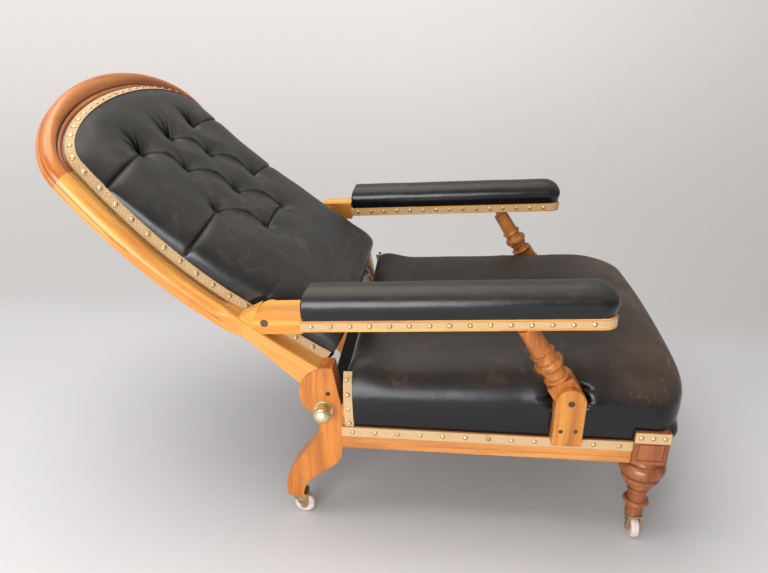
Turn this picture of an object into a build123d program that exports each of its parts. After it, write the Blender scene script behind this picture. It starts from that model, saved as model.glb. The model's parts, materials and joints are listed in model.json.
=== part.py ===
from build123d import *
import os
from math import asin, atan2, cos, degrees, hypot, radians, sin, sqrt

# Reclining open armchair, in millimetres. X runs forward, Y to the sitter's left, Z up from the
# floor. The chair is modelled with X = 0 at the back hinge and moved at the end, so that the
# origin lies on the floor under the middle of its outline. Right and left are the sitter's.

# Linkage: the back, each arm, its support and the seat frame are the four bars
hinge_height = 270.5
bracket_pivot_reach = 402.4
bracket_pivot_rise = 21.2
recline_slope = 43.0
arm_pivot_up_back = 167.0
arm_pivot_before_back = 42.0
overrun = 60.0
wood_fit = 0.05
running_fit = 0.05
soft_gap = 0.3
trim_gap = 1.0

# Rear legs
leg_face = 297.0
rear_leg_thickness = 38.0
hinge_disc_radius = 50.0
rear_leg_front = 23.0
foot_sole = 47.0
foot_rear = 80.0
foot_front = 52.0
foot_heel_height = 75.0
ankle_rear = 76.0
ankle_height = 99.0
calf_rear = 45.0
calf_height = 147.0
knee_rear = 19.0
knee_height = 190.0
shin_front = 5.0
shin_height = 119.0
instep_front = -38.0
instep_height = 84.0
disc_lower_angle = 232.0
disc_front_angle = 80.0

# Seat frame
rail_underside = 165.0
rail_mould_top = 190.0
gimp_top = 208.6
rail_top = 250.0
rail_proud = 5.0
rail_face = leg_face + rail_proud
rail_thickness = 32.0
leather_rebate = 6.0
mould_groove_radius = 1.6
mould_groove_height = 177.0
rear_rail_back = 12.0
rear_rail_front = 18.0
rear_rail_bottom = 170.0
rear_rail_top = 222.0
front_rail_face = 572.0

# Front legs
block_behind_rail_face = 55.0
block_rear = front_rail_face - block_behind_rail_face
block_width = 58.0
block_proud = 12.0
block_outer = leg_face + block_proud
block_bottom = 168.0
block_top = 232.0
block_gimp_bottom = 212.0
panel_margin = 9.0
panel_depth = 2.0
cove_radius = 27.0
bulb_radius = 40.0
bulb_height = 147.0
bulb_half = 14.0
collar_radius = 33.0
collar_height = 126.0
collar_half = 6.0
taper_radius = 23.5
taper_height = 109.0
neck_ring_radius = 18.5
neck_ring_height = 97.0
neck_ring_half = 2.5
neck_radius = 16.0
foot_ring_radius = 22.5
foot_ring_height = 71.0
foot_ring_half = 5.5
foot_end_radius = 15.0

# Castors
wheel_radius = 19.0
wheel_width = 14.0
wheel_rounding = 3.5
wheel_side_gap = 0.8
cheek_thickness = 5.0
cheek_end_radius = 6.0
cheek_lead = 9.0
fork_crown_thickness = 4.0
castor_trail = 11.0
axle_radius = 2.2
axle_head_radius = 3.4
axle_head_height = 1.2
stem_radius = 4.0
stem_length = 28.0
socket_radius = 15.5
socket_flange = 2.5
socket_wall = 1.8
swivel_gap = 0.3
rear_castor_x = -65.0

# Arm supports and their brackets
bracket_half_width = 24.5
bracket_proud = 29.5
bracket_face = leg_face + bracket_proud
bracket_plate = 12.0
bracket_shoulder_drop = 14.0
bracket_edge = 1.5
knuckle_half_width = 23.0
knuckle_thickness = 30.0
knuckle_gap = 0.4
knuckle_length = 35.0
support_pin_radius = 4.0
support_pin_head_radius = 5.5
support_pin_head_height = 2.0
screw_radius = 2.0
screw_head_radius = 3.6
screw_head_height = 2.4
screw_length = 42.0
screw_low = 16.0
screw_high = 17.5
screw_spread = 12.0
screw_lower_height = 222.0
low_ring_radius = 23.0
low_ring_at = 43.0
low_ring_half = 4.0
cove_neck_radius = 16.5
cove_neck_at = 53.0
mid_ring_radius = 19.5
mid_ring_at = 58.5
mid_ring_half = 2.0
big_ring_radius = 24.5
big_ring_at = 71.0
big_ring_half = 8.5
upper_neck_radius = 17.0
upper_neck_at = 86.0
top_ring_radius = 21.0
top_ring_at = 92.5
top_ring_half = 2.6
shaft_low_radius = 17.0
shaft_top_radius = 15.5
shaft_shoulder_drop = 26.5
tongue_radius = 7.5
tongue_thickness = 14.0
front_pin_radius = 2.5
front_pin_length = 40.0
tongue_clearance = 0.4
slot_rear = 15.0
slot_front = 28.0

# Arms, measured along and across the line through the two arm pivots
arm_overhang = 39.7
arm_outer = leg_face + arm_overhang
arm_width = 64.0
board_underside = 10.5
board_top = 8.0
bead_height = 3.5
gimp_thickness = 1.6
arm_gimp_top = 5.0
arm_pad_rear = 60.6
arm_front = 551.0
arm_corner_radius = 22.0
tail_proud = 28.0
tail_face = leg_face + tail_proud
tail_width = 46.0
tail_radius = 19.5
arm_pin_radius = 5.0
arm_pin_head_radius = 6.5
arm_pin_head_height = 2.5
pad_height = 52.0
pad_bulge = 2.6
pad_nose = 3.5
pad_height_shares = (0.0, 0.28, 0.62, 0.87, 1.0)
pad_inset_shares = (0.0, -1.0, 0.6, 4.2, 8.6)

# Back frame: a hollow, bowed frame whose front face is a cylinder
bow_radius = 1200.0
bow_middle = 320.0
bow_depth = 4.6
frame_thickness = 31.0
stile_heel_back = 20.0
stile_foot_gap = 0.6
stile_plain_end = 185.0
stile_plain_width = 40.0
crest_top = 675.0
crest_rise = 134.0
crest_depth = 63.0
crest_inner_top = crest_top - crest_depth
stile_top = crest_top - crest_rise
stile_flare = 28.0
stile_top_half = leg_face + stile_flare
stile_top_width = 53.0
stile_inner_top_half = stile_top_half - stile_top_width
stile_swell_up_shares = (0.2107, 0.6039)
stile_swell_out_shares = (0.3929, 0.7679)
crest_fullness = 2.0
crest_point_count = 9
frame_edge_round = 9.0
crest_step = 3.5
moulding_width = 37.0
crest_moulding_width = 41.0
gimp_width = 17.0
bottom_rail_start = 72.0
bottom_rail_end = 118.0
bottom_rail_inset = 4.0
cover_thickness = 1.6
cover_inset = 12.0

# Back upholstery
back_pad_start = 60.0
back_pad_sink = 12.0
back_pad_end = crest_top - crest_moulding_width - gimp_width
back_pad_run = back_pad_end - back_pad_start
crown_shares = (0.0, 0.0718, 0.2154, 0.3411, 0.4847, 0.6463, 0.7899, 0.9156, 0.9695, 1.0)
crown_places = [back_pad_start + share * back_pad_run for share in crown_shares]
crown_rises = (66.0, 80.0, 84.0, 78.0, 68.0, 55.0, 42.0, 31.0, 22.0, 13.0)
crown_edge = 12.0
crown_shoulder = 85.0
crown_section_shares = (0.0, 0.25, 0.5, 0.68, 0.82, 0.92, 1.0)
ear_tip_length = 14.0
ear_inset = 4.6
tuft_depth = 22.0
tuft_radius = 20.0
pleat_depth = 8.0
pleat_half_width = 6.0
pleat_reach_share = 1.1
button_radius = 8.0
button_height = 5.0
button_up_shares = (0.3519, 0.5135, 0.6768, 0.7989)
button_rows_up = [back_pad_start + share * back_pad_run for share in button_up_shares]
button_row_share_even = (-0.5, 0.5)
button_row_share_odd = (-1.0, 0.0, 1.0)
button_half_span = 130.0

# Hinge plates, lock bolts and knobs
plate_thickness = 4.0
plate_hub_radius = 16.0
plate_sector_radius = 39.0
plate_sector_half_angle = 31.0
plate_strap_end = 146.0
plate_strap_back = 13.0
plate_strap_front = 7.0
plate_screw_radius = 2.0
plate_screw_length = 24.0
plate_screw_head_radius = 3.8
plate_screw_head_height = 2.0
plate_screw_places = (62.0, 130.0)
hinge_pin_radius = 4.5
hinge_pin_head_radius = 8.0
hinge_pin_head_height = 3.0
bolt_drop = 31.5
bolt_behind = 8.0
lock_angles = (10.0, 20.0, 30.0)
lock_hole_radius = 2.2
bolt_tip_radius = 2.0
bolt_tip_gap = 0.5
bolt_radius = 4.0
bolt_tip_length = 5.0
bolt_collar_radius = 6.0
bolt_collar_height = 3.0
spring_chamber_radius = 6.8
spring_shoulder = 7.0
spring_wire = 1.2
spring_coil_radius = 5.2
spring_turns = 4
knob_travel = 8.0
rose_radius = 17.0
rose_thickness = 3.0
knob_gap = 0.4
knob_neck_radius = 8.0
knob_neck_length = 9.0
knob_radius = 15.0
knob_rim_length = 4.0
knob_rim_rise = 4.0
knob_dome = 11.0

# Seat upholstery: plan sections from the gimp up to the crown
seat_section_heights = (208.9, 232.0, 255.0, 275.0, 292.0, 307.0, 320.0, 332.0, 341.0)
seat_section_rears = (28.0, 27.0, 26.0, 27.0, 31.0, 40.0, 56.0, 84.0, 130.0)
seat_section_reaches = (18.0, 31.0, 39.0, 42.0, 38.0, 28.0, 12.0, -16.0, -60.0)
seat_section_fronts = [front_rail_face + reach for reach in seat_section_reaches]
seat_section_insets = (-2.0, -5.0, -5.0, -2.0, 5.0, 17.0, 35.0, 65.0, 111.0)
seat_section_halves = [leg_face - inset for inset in seat_section_insets]
seat_front_corners = (30.0, 44.0, 60.0, 72.0, 80.0, 84.0, 86.0, 86.0, 80.0)
seat_rear_corners = (8.0, 8.0, 10.0, 14.0, 24.0, 36.0, 46.0, 50.0, 50.0)
seat_tilt_shares = (0.0, 0.0, 0.0, 0.1, 0.3, 0.5, 0.8, 1.0, 1.0)
seat_tilt = 3.0
spring_well_top = 288.0
recess_behind_pivot = 54.4
recess_before_pivot = 35.6
recess_rear = bracket_pivot_reach - recess_behind_pivot
recess_front = bracket_pivot_reach + recess_before_pivot
recess_clearance = 2.0
recess_corner = 8.0
webbing_width = 50.0
webbing_thickness = 2.0
webbing_lap = 18.0
webbing_count = 4
cloth_thickness = 1.2
seat_spring_wire = 4.0
seat_spring_radius = 38.0
seat_spring_turns = 4
seat_spring_columns = 3
seat_spring_rows = 3
seat_spring_pitch_x = 155.0
seat_spring_pitch_y = 155.0
strip_foot_x = 37.0
strip_head_x = 33.0
strip_head_height = 313.0
strip_width = 15.0

# Nails
nail_radius = 4.3
nail_height = 2.4
side_nail_pitch = 37.0
arm_nail_pitch = 32.0
back_nail_pitch = 33.0

hinge = Vector(0, 0, hinge_height)
bracket_pivot = Vector(bracket_pivot_reach, 0, hinge_height + bracket_pivot_rise)
back_frame = Plane(
    origin=hinge,
    x_dir=(-cos(radians(recline_slope)), 0, sin(radians(recline_slope))),
    z_dir=(sin(radians(recline_slope)), 0, cos(radians(recline_slope))),
)
arm_pivot = back_frame.from_local_coords(Vector(arm_pivot_up_back, 0, arm_pivot_before_back))
arm_slope = atan2(bracket_pivot_rise, bracket_pivot_reach)
arm_frame = Plane(
    origin=arm_pivot,
    x_dir=(cos(arm_slope), 0, sin(arm_slope)),
    z_dir=(-sin(arm_slope), 0, cos(arm_slope)),
)
link_length = hypot(arm_pivot_up_back, arm_pivot_before_back)
link_lean = atan2(hinge.X - arm_pivot.X, arm_pivot.Z - hinge.Z)
support_frame = Plane(
    origin=bracket_pivot,
    x_dir=(cos(link_lean), 0, sin(link_lean)),
    z_dir=(-sin(link_lean), 0, cos(link_lean)),
)
front_pivot_reach = hypot(bracket_pivot_reach, bracket_pivot_rise)
leg_inner = leg_face - rear_leg_thickness
plate_outer = leg_face - stile_plain_width
knuckle_outer = bracket_face - bracket_plate - knuckle_gap
block_centre_x = block_rear + block_width / 2
block_centre_y = block_outer - block_width / 2
bolt_place = Vector(hinge.X - bolt_behind, 0, hinge.Z - bolt_drop)

nodes = {}


def mirrored(shape):
    return shape.mirror(Plane.XZ)


def pair(name, right_shape):
    nodes[name + "_right"] = right_shape
    nodes[name + "_left"] = mirrored(right_shape)


def group(shapes):
    """Separate solids kept together as one shape."""
    return Compound([solid for shape in shapes for solid in shape.solids()])


def both_sides(name, right_shapes):
    nodes[name] = group(list(right_shapes) + [mirrored(shape) for shape in right_shapes])


def block(x0, x1, y0, y1, z0, z1):
    return Pos((x0 + x1) / 2, (y0 + y1) / 2, (z0 + z1) / 2) * Box(x1 - x0, y1 - y0, z1 - z0)


def rod(x, z, radius, y0, y1):
    """A round bar along Y between two distances from the middle plane."""
    return Pos(x, (y0 + y1) / 2, z) * Rot(X=90) * Cylinder(radius, abs(y1 - y0))


def side_slab(outline, y0, y1):
    """A face drawn in the XZ plane, given thickness from y0 to y1."""
    return extrude(Pos(0, y1, 0) * outline, y1 - y0, dir=(0, -1, 0))


def face_xz(points):
    return make_face(Polyline(*[(x, 0, z) for x, z in points], close=True))


def turned(points):
    """A solid of revolution about Z from (radius, height) points, both ends on the axis."""
    edge = Polyline(*[(r, 0, h) for r, h in points], close=True)
    return revolve(make_face(edge), Axis.Z)


def ring_profile(radius, centre, half, root):
    """A rounded ring on a turning: points of a half circle squashed to the given half height."""
    steps = [radians(angle) for angle in range(-80, 81, 20)]
    return [(root + (radius - root) * cos(a), centre + half * sin(a)) for a in steps]


def front_of_frame(up):
    """Height of the bowed front face over the back's straight axis, at a distance up the back."""
    return bow_radius - bow_depth - sqrt(bow_radius**2 - (up - bow_middle) ** 2)


def bowed_slab(low, high):
    """The space between two surfaces parallel to the frame's front face."""
    centre = bow_radius - bow_depth

    def arc(offset):
        radius = bow_radius - offset
        ends = []
        for up in (-overrun, bow_middle, crest_top + overrun):
            ends.append((up, 0, centre - sqrt(radius**2 - (up - bow_middle) ** 2)))
        return ThreePointArc(*ends)

    lower = arc(low)
    upper = arc(high)
    sides = [Line(lower @ 0, upper @ 0), Line(lower @ 1, upper @ 1)]
    face = make_face([lower, upper] + sides)
    return side_slab(face, -stile_top_half - overrun, stile_top_half + overrun)


def rear_leg():
    centre_z = hinge.Z

    def on_disc(angle):
        turn = radians(angle)
        return (hinge.X + hinge_disc_radius * cos(turn), centre_z + hinge_disc_radius * sin(turn))

    top = on_disc(disc_front_angle)
    low = on_disc(disc_lower_angle)
    crown = on_disc((disc_front_angle + disc_lower_angle) / 2)

    def p(x, z):
        return (x, 0, z)

    edges = [
        Line(p(rear_leg_front, rail_underside), p(rear_leg_front, rail_top - leather_rebate)),
        Line(p(rear_leg_front, rail_top - leather_rebate), p(*top)),
        ThreePointArc(p(*top), p(*crown), p(*low)),
        Spline(
            p(*low),
            p(-knee_rear, knee_height),
            p(-calf_rear, calf_height),
            p(-ankle_rear, ankle_height),
            p(-foot_rear, foot_sole),
        ),
        Line(p(-foot_rear, foot_sole), p(-foot_front, foot_sole)),
        Spline(
            p(-foot_front, foot_sole),
            p(instep_front, instep_height),
            p(shin_front, shin_height),
            p(rear_leg_front, rail_underside),
            tangents=[(0, 0, 1), (0, 0, 1)],
        ),
    ]
    leg = side_slab(make_face(edges), -leg_face, -leg_inner)
    leg -= rod(hinge.X, hinge.Z, hinge_pin_radius + wood_fit, -leg_face, -leg_inner)
    leg -= rod(bolt_place.X, bolt_place.Z, bolt_radius + running_fit, -leg_face, -leg_inner)
    chamber_end = -leg_face + spring_shoulder
    leg -= rod(bolt_place.X, bolt_place.Z, spring_chamber_radius, chamber_end, -leg_inner)
    leg -= castor_bore(rear_castor_x, -leg_face + rear_leg_thickness / 2)
    return leg


def castor_bore(x, y):
    sleeve = stem_radius + running_fit + socket_wall + wood_fit
    depth = stem_length + swivel_gap
    return Pos(x, y, foot_sole + depth / 2) * Cylinder(sleeve, depth)


def front_leg():
    outer = block_outer
    square = block(
        block_rear, block_rear + block_width, -outer, block_width - outer, block_bottom, block_top
    )
    panel_top = block_gimp_bottom - panel_margin / 2
    low = block_bottom + panel_margin
    field = block(
        block_rear + panel_margin,
        block_rear + block_width - panel_margin,
        -outer,
        panel_depth - outer,
        low,
        panel_top,
    )
    border = block(
        block_rear + panel_margin - panel_depth,
        block_rear + block_width - panel_margin + panel_depth,
        -outer,
        panel_depth - outer,
        low - panel_depth,
        panel_top + panel_depth,
    )
    square -= border - field
    profile = [(0, foot_sole), (foot_end_radius, foot_sole)]
    profile += [(foot_end_radius, foot_ring_height - foot_ring_half - swivel_gap)]
    profile += ring_profile(foot_ring_radius, foot_ring_height, foot_ring_half, foot_end_radius)
    profile += [(neck_radius, foot_ring_height + 2 * foot_ring_half)]
    profile += [(neck_radius, neck_ring_height - neck_ring_half - swivel_gap)]
    profile += ring_profile(neck_ring_radius, neck_ring_height, neck_ring_half, neck_radius)
    profile += [(taper_radius, taper_height)]
    profile += ring_profile(collar_radius, collar_height, collar_half, taper_radius)
    profile += ring_profile(bulb_radius, bulb_height, bulb_half, cove_radius)
    profile += [(cove_radius - panel_depth, block_bottom), (0, block_bottom)]
    turning = Pos(block_centre_x, -block_centre_y, 0) * turned(profile)
    leg = square + turning
    return leg - castor_bore(block_centre_x, -block_centre_y)


def side_rail():
    face = -rail_face
    inner = rail_thickness - rail_face
    points = [
        (face, rail_underside),
        (face, gimp_top),
        (face + leather_rebate, gimp_top),
        (face + leather_rebate, rail_top),
        (inner, rail_top),
        (inner, rail_underside),
    ]
    section = make_face(Polyline(*[(rear_leg_front, y, z) for y, z in points], close=True))
    rail = extrude(section, block_rear - rear_leg_front, dir=(1, 0, 0))
    middle = (rear_leg_front + block_rear) / 2
    length = block_rear - rear_leg_front
    groove = Rot(Y=90) * Cylinder(mould_groove_radius, length)
    rail -= Pos(middle, face, mould_groove_height) * groove
    for x, z in bracket_screw_places():
        rail -= rod(x, z, screw_radius + wood_fit, -bracket_face, screw_length - bracket_face)
    return rail


def front_rail():
    half = block_outer - block_width
    low = block(
        front_rail_face - rail_thickness, front_rail_face, -half, half, rail_underside, gimp_top
    )
    high = block(
        front_rail_face - rail_thickness,
        front_rail_face - leather_rebate,
        -half,
        half,
        gimp_top,
        rail_top,
    )
    groove = Rot(X=90) * Cylinder(mould_groove_radius, 2 * half)
    return low + high - Pos(front_rail_face, 0, mould_groove_height) * groove


def rear_rail():
    return block(
        -rear_rail_back, rear_rail_front, -leg_inner, leg_inner, rear_rail_bottom, rear_rail_top
    )


def bracket_screw_places():
    x = bracket_pivot.X
    return [
        (x - screw_spread, screw_lower_height + screw_low),
        (x + screw_spread, screw_lower_height + screw_high),
    ]


def support_bracket():
    x = bracket_pivot.X
    z = bracket_pivot.Z
    half = bracket_half_width
    low = gimp_top + soft_gap
    foot = block(x - half, x + half, -bracket_face, bracket_plate - bracket_face, low, z)
    plate = foot + rod(x, z, half, -bracket_face, bracket_plate - bracket_face)
    outer_edges = plate.faces().sort_by(Axis.Y)[0].edges()
    plate = chamfer(outer_edges, bracket_edge)
    shoulder = z - bracket_shoulder_drop
    back = leather_rebate - rail_face
    inner = block(x - half, x + half, bracket_plate - bracket_face, back, low, shoulder)
    swept = rod(x, z, knuckle_half_width + knuckle_gap, bracket_plate - bracket_face, back)
    bracket = plate + (inner - swept)
    bracket -= rod(x, z, support_pin_radius + wood_fit, -bracket_face, bracket_plate - bracket_face)
    head_end = support_pin_head_height - bracket_face
    bracket -= rod(x, z, support_pin_head_radius + wood_fit, -bracket_face, head_end)
    for sx, sz in bracket_screw_places():
        bracket -= rod(sx, sz, screw_radius + wood_fit, -bracket_face, back)
        sink = screw_head_height - bracket_face
        bracket -= rod(sx, sz, screw_head_radius + wood_fit, -bracket_face, sink)
    return bracket


def headed_pin(x, z, radius, head_radius, head_height, y_head, y_end):
    """A pin along Y whose head is flush at y_head, on the outer side."""
    pin = rod(x, z, radius, y_head, y_end)
    return pin + rod(x, z, head_radius, y_head, y_head + head_height)


def bracket_screws():
    screws = []
    for x, z in bracket_screw_places():
        screws.append(
            headed_pin(
                x,
                z,
                screw_radius,
                screw_head_radius,
                screw_head_height,
                -bracket_face,
                screw_length - bracket_face - wood_fit,
            )
        )
    return screws


def support_pin():
    return headed_pin(
        bracket_pivot.X,
        bracket_pivot.Z,
        support_pin_radius,
        support_pin_head_radius,
        support_pin_head_height,
        -bracket_face,
        -knuckle_outer + knuckle_thickness,
    )


def arm_support():
    """A square knuckle below, turned rings, and a flat tongue above, along the support's axis."""
    middle = -knuckle_outer + knuckle_thickness / 2
    half = knuckle_half_width
    tongue_top = link_length
    shoulder = link_length - shaft_shoulder_drop
    square = block(
        -half,
        half,
        -knuckle_outer,
        knuckle_thickness - knuckle_outer,
        0,
        knuckle_length,
    )
    square += rod(0, 0, half, -knuckle_outer, knuckle_thickness - knuckle_outer)
    profile = [(0, knuckle_length - half)]
    profile += [(knuckle_thickness / 2, knuckle_length - half)]
    profile += [(knuckle_thickness / 2, knuckle_length)]
    profile += [(cove_neck_radius, knuckle_length)]
    profile += ring_profile(low_ring_radius, low_ring_at, low_ring_half, cove_neck_radius)
    profile += [(cove_neck_radius, cove_neck_at)]
    profile += ring_profile(mid_ring_radius, mid_ring_at, mid_ring_half, cove_neck_radius)
    profile += ring_profile(big_ring_radius, big_ring_at, big_ring_half, upper_neck_radius)
    profile += [(upper_neck_radius, upper_neck_at)]
    profile += ring_profile(top_ring_radius, top_ring_at, top_ring_half, upper_neck_radius)
    profile += [(shaft_low_radius, top_ring_at + 2 * top_ring_half)]
    profile += [(shaft_top_radius, shoulder), (0, shoulder)]
    turning = Pos(0, middle, 0) * turned(profile)
    tongue = block(
        -tongue_radius,
        tongue_radius,
        middle - tongue_thickness / 2,
        middle + tongue_thickness / 2,
        shoulder - tongue_radius,
        tongue_top,
    )
    tongue += rod(
        0, tongue_top, tongue_radius, middle - tongue_thickness / 2, middle + tongue_thickness / 2
    )
    support = square + turning + tongue
    bore = support_pin_radius + running_fit
    support -= rod(0, 0, bore, -knuckle_outer, knuckle_thickness - knuckle_outer)
    open_bore = front_pin_radius + tongue_clearance
    support -= rod(0, tongue_top, open_bore, middle - knuckle_thickness, middle + knuckle_thickness)
    return support_frame.location * support


def arm_plan(inset):
    """Plan outline of the padded part of an arm, in the arm's own frame."""
    rear = arm_pad_rear
    front = arm_front - inset
    outer = -arm_outer + inset
    inner = arm_width - arm_outer - inset
    plan = make_face(
        Polyline((rear, outer), (front, outer), (front, inner), (rear, inner), close=True)
    )
    corners = plan.vertices().sort_by(Axis.X)[-2:]
    return fillet(corners, arm_corner_radius - inset)


def arm_rail():
    middle = -knuckle_outer + knuckle_thickness / 2
    bead = extrude(Pos(0, 0, -board_underside) * arm_plan(0), bead_height)
    core_low = bead_height - board_underside
    core = extrude(Pos(0, 0, core_low) * arm_plan(gimp_thickness), board_top - core_low)
    tail = block(
        0,
        arm_pad_rear + gimp_thickness,
        -tail_face,
        tail_width - tail_face,
        -tail_radius,
        tail_radius,
    )
    above = block(
        arm_pad_rear,
        arm_pad_rear + overrun,
        -tail_face - overrun,
        tail_width - tail_face + overrun,
        board_top,
        tail_radius + overrun,
    )
    below = block(
        arm_pad_rear,
        arm_pad_rear + overrun,
        -tail_face - overrun,
        tail_width - tail_face + overrun,
        -tail_radius - overrun,
        -board_underside,
    )
    tail = tail - above - below + rod(0, 0, tail_radius, -tail_face, tail_width - tail_face)
    rail = bead + core + tail
    rail -= rod(0, 0, arm_pin_radius + running_fit, -tail_face, tail_width - tail_face)
    sink = arm_pin_head_height + swivel_gap - tail_face
    rail -= rod(0, 0, arm_pin_head_radius + running_fit, -tail_face, sink)
    slot = block(
        front_pivot_reach - slot_rear,
        front_pivot_reach + slot_front,
        middle - tongue_thickness / 2 - knuckle_gap,
        middle + tongue_thickness / 2 + knuckle_gap,
        -board_underside,
        board_top,
    )
    rail -= slot
    half_pin = front_pin_length / 2
    rail -= rod(front_pivot_reach, 0, front_pin_radius + wood_fit, middle - half_pin, middle + half_pin)
    return arm_frame.location * rail


def arm_front_pin():
    middle = -knuckle_outer + knuckle_thickness / 2
    half_pin = front_pin_length / 2
    pin = rod(front_pivot_reach, 0, front_pin_radius, middle - half_pin, middle + half_pin)
    return arm_frame.location * pin


def arm_gimp():
    height = arm_gimp_top + board_underside - bead_height
    band = extrude(arm_plan(0), height) - extrude(arm_plan(gimp_thickness), height)
    return arm_frame.location * (Pos(0, 0, bead_height - board_underside) * band)


def arm_pad():
    sections = []
    for height_share, inset_share in zip(pad_height_shares, pad_inset_shares):
        inset = pad_bulge * inset_share + gimp_thickness
        nose = pad_nose * (1 - height_share)
        rear = arm_pad_rear + soft_gap + gimp_thickness + max(inset_share, 0) * gimp_thickness
        front = arm_front + nose - max(inset, 0)
        centre_y = arm_width / 2 - arm_outer
        z = board_top + soft_gap + pad_height * height_share
        width = arm_width - 2 * inset
        corner = min(arm_corner_radius, width / 2 - gimp_thickness)
        shape = RectangleRounded(front - rear, width, corner)
        sections.append(Pos((front + rear) / 2, centre_y, z) * shape)
    return arm_frame.location * loft(sections)


def nail():
    """A shallow domed nail head standing on the XY plane."""
    ball = (nail_radius**2 + nail_height**2) / (2 * nail_height)
    half_turn = atan2(nail_radius, ball - nail_height) / 2
    middle = (ball * sin(half_turn), 0, nail_height - ball + ball * cos(half_turn))
    edge = ThreePointArc((nail_radius, 0, 0), middle, (0, 0, nail_height))
    outline = [edge, Line((0, 0, nail_height), (0, 0, 0)), Line((0, 0, 0), (nail_radius, 0, 0))]
    return revolve(make_face(outline), Axis.Z)


def nail_row(start, end, pitch, normal):
    """Nail heads at equal steps from start to end, standing out along the normal."""
    span = (end - start).length
    count = max(1, round(span / pitch))
    head = nail()
    places = [start + (end - start) * ((i + 0.5) / count) for i in range(count)]
    return [Plane(origin=p, z_dir=normal).location * head for p in places]


def arm_nails():
    mid = (arm_gimp_top + bead_height - board_underside) / 2
    rear = arm_pad_rear + gimp_thickness
    straight = arm_front - arm_corner_radius
    outer = -arm_outer
    inner = arm_width - arm_outer
    rows = nail_row(Vector(rear, outer, mid), Vector(straight, outer, mid), arm_nail_pitch, (0, -1, 0))
    rows += nail_row(Vector(rear, inner, mid), Vector(straight, inner, mid), arm_nail_pitch, (0, 1, 0))
    rows += nail_row(
        Vector(arm_front, outer + arm_corner_radius, mid),
        Vector(arm_front, inner - arm_corner_radius, mid),
        nail_radius * 3,
        (1, 0, 0),
    )
    return group([arm_frame.location * head for head in rows])


def crest_curve(inset, top):
    """Outer edge of the crest, a superellipse, moved in by an inset and ending at the given top."""
    half = stile_top_half - inset
    power = 2 / crest_fullness
    points = []
    for i in range(crest_point_count):
        turn = radians(90 * i / (crest_point_count - 1))
        rise = (top - stile_top) * sin(turn) ** power
        points.append((stile_top + rise, half * max(0, cos(turn)) ** power))
    points[-1] = (top, 0)
    left = [(up, -wide) for up, wide in reversed(points[:-1])]
    return Spline(*(points + left))


def side_points():
    """Points up the outer edge of a stile above its plain foot, as (up the back, half width)."""
    points = [(stile_plain_end, leg_face)]
    for up, out in zip(stile_swell_up_shares, stile_swell_out_shares):
        points.append((stile_plain_end + up * (stile_top - stile_plain_end), leg_face + out * stile_flare))
    return points + [(stile_top, stile_top_half)]


def side_curve(inset, side):
    """Outer edge of a stile moved in by an inset, on one side, from the foot up to the crest."""
    points = side_points()
    first = (points[1][0] - points[0][0], side * (points[1][1] - points[0][1]))
    return Spline(*[(up, side * (half - inset)) for up, half in points], tangents=[first, (1, 0)])


def stile_half(up, inset):
    """Half width of the frame's outer edge, less an inset, at a distance up the back."""
    points = side_points()
    if up <= stile_plain_end:
        return leg_face - inset
    for (up_a, half_a), (up_b, half_b) in zip(points, points[1:]):
        if up <= up_b:
            return half_a + (half_b - half_a) * (up - up_a) / (up_b - up_a) - inset
    return stile_top_half - inset


def shield_face(start, inset, top):
    """The whole back outline, from a lower edge to the crest, moved in by an inset."""
    knee = leg_face - inset
    sides = [side_curve(inset, 1), side_curve(inset, -1)]
    base = Polyline((stile_plain_end, knee), (start, knee), (start, -knee), (stile_plain_end, -knee))
    return make_face([base, crest_curve(inset, top)] + sides)


def shield_prism(start, inset, top):
    """The back outline of the same arguments as a tall prism, for cutting bowed sheets from."""
    return extrude(Pos(0, 0, -2 * overrun) * shield_face(start, inset, top), 5 * overrun)


def back_stile():
    """One upright of the back: bowed, plain below, wider above, and hollowed round the leg's disc."""
    inner_low = plate_outer
    inner = Polyline(
        (stile_top, stile_top_half),
        (stile_top, stile_inner_top_half),
        (stile_plain_end, inner_low),
        (stile_plain_end, leg_face),
    )
    plan = make_face([side_curve(0, 1), inner])
    upper = extrude(Pos(0, 0, -2 * overrun) * plan, 4 * overrun) & bowed_slab(-frame_thickness, 0)
    outer_edges = upper.edges().filter_by(lambda e: e.length > stile_plain_end)
    upper = fillet(outer_edges.sort_by(lambda e: e.center().Y)[-2:], frame_edge_round)
    foot = block(-overrun, stile_plain_end, inner_low, leg_face, -2 * overrun, 2 * overrun)
    heel = block(
        -overrun,
        stile_plain_end,
        inner_low,
        leg_face,
        -stile_heel_back,
        front_of_frame(stile_plain_end),
    )
    stile = upper + (foot & bowed_slab(-frame_thickness, 0)) + heel
    disc = rod(0, 0, hinge_disc_radius + stile_foot_gap, inner_low, leg_face)
    behind = block(-2 * overrun, 0, inner_low, leg_face, -2 * overrun, 2 * overrun)
    stile = stile - disc - behind
    stile = stile.solids().sort_by(SortBy.VOLUME)[-1]
    for up in plate_screw_places:
        deep = plate_screw_length + plate_outer - plate_thickness
        stile -= rod(up, -plate_middle(), plate_screw_radius + wood_fit, plate_outer, deep)
    return stile


def plate_middle():
    """How far behind the back's axis the strap of the hinge plate lies."""
    return (plate_strap_back - plate_strap_front) / 2


def crest_rail():
    """Bowed top rail: a proud roll along the middle of its edge, stepped in at front and back."""
    inner = shield_prism(bottom_rail_start, stile_top_width, crest_inner_top)
    half = stile_top_half + overrun
    above = block(stile_top, crest_top + overrun, -half, half, -2 * overrun, 2 * overrun)
    layers = []
    for step, low, high in (
        (0, frame_edge_round - frame_thickness, -frame_edge_round),
        (crest_step, -frame_thickness, 0),
    ):
        outer = shield_prism(bottom_rail_start, step, crest_top - step)
        layers.append((outer & above & bowed_slab(low, high)) - inner)
    return layers[0] + layers[1]


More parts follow.
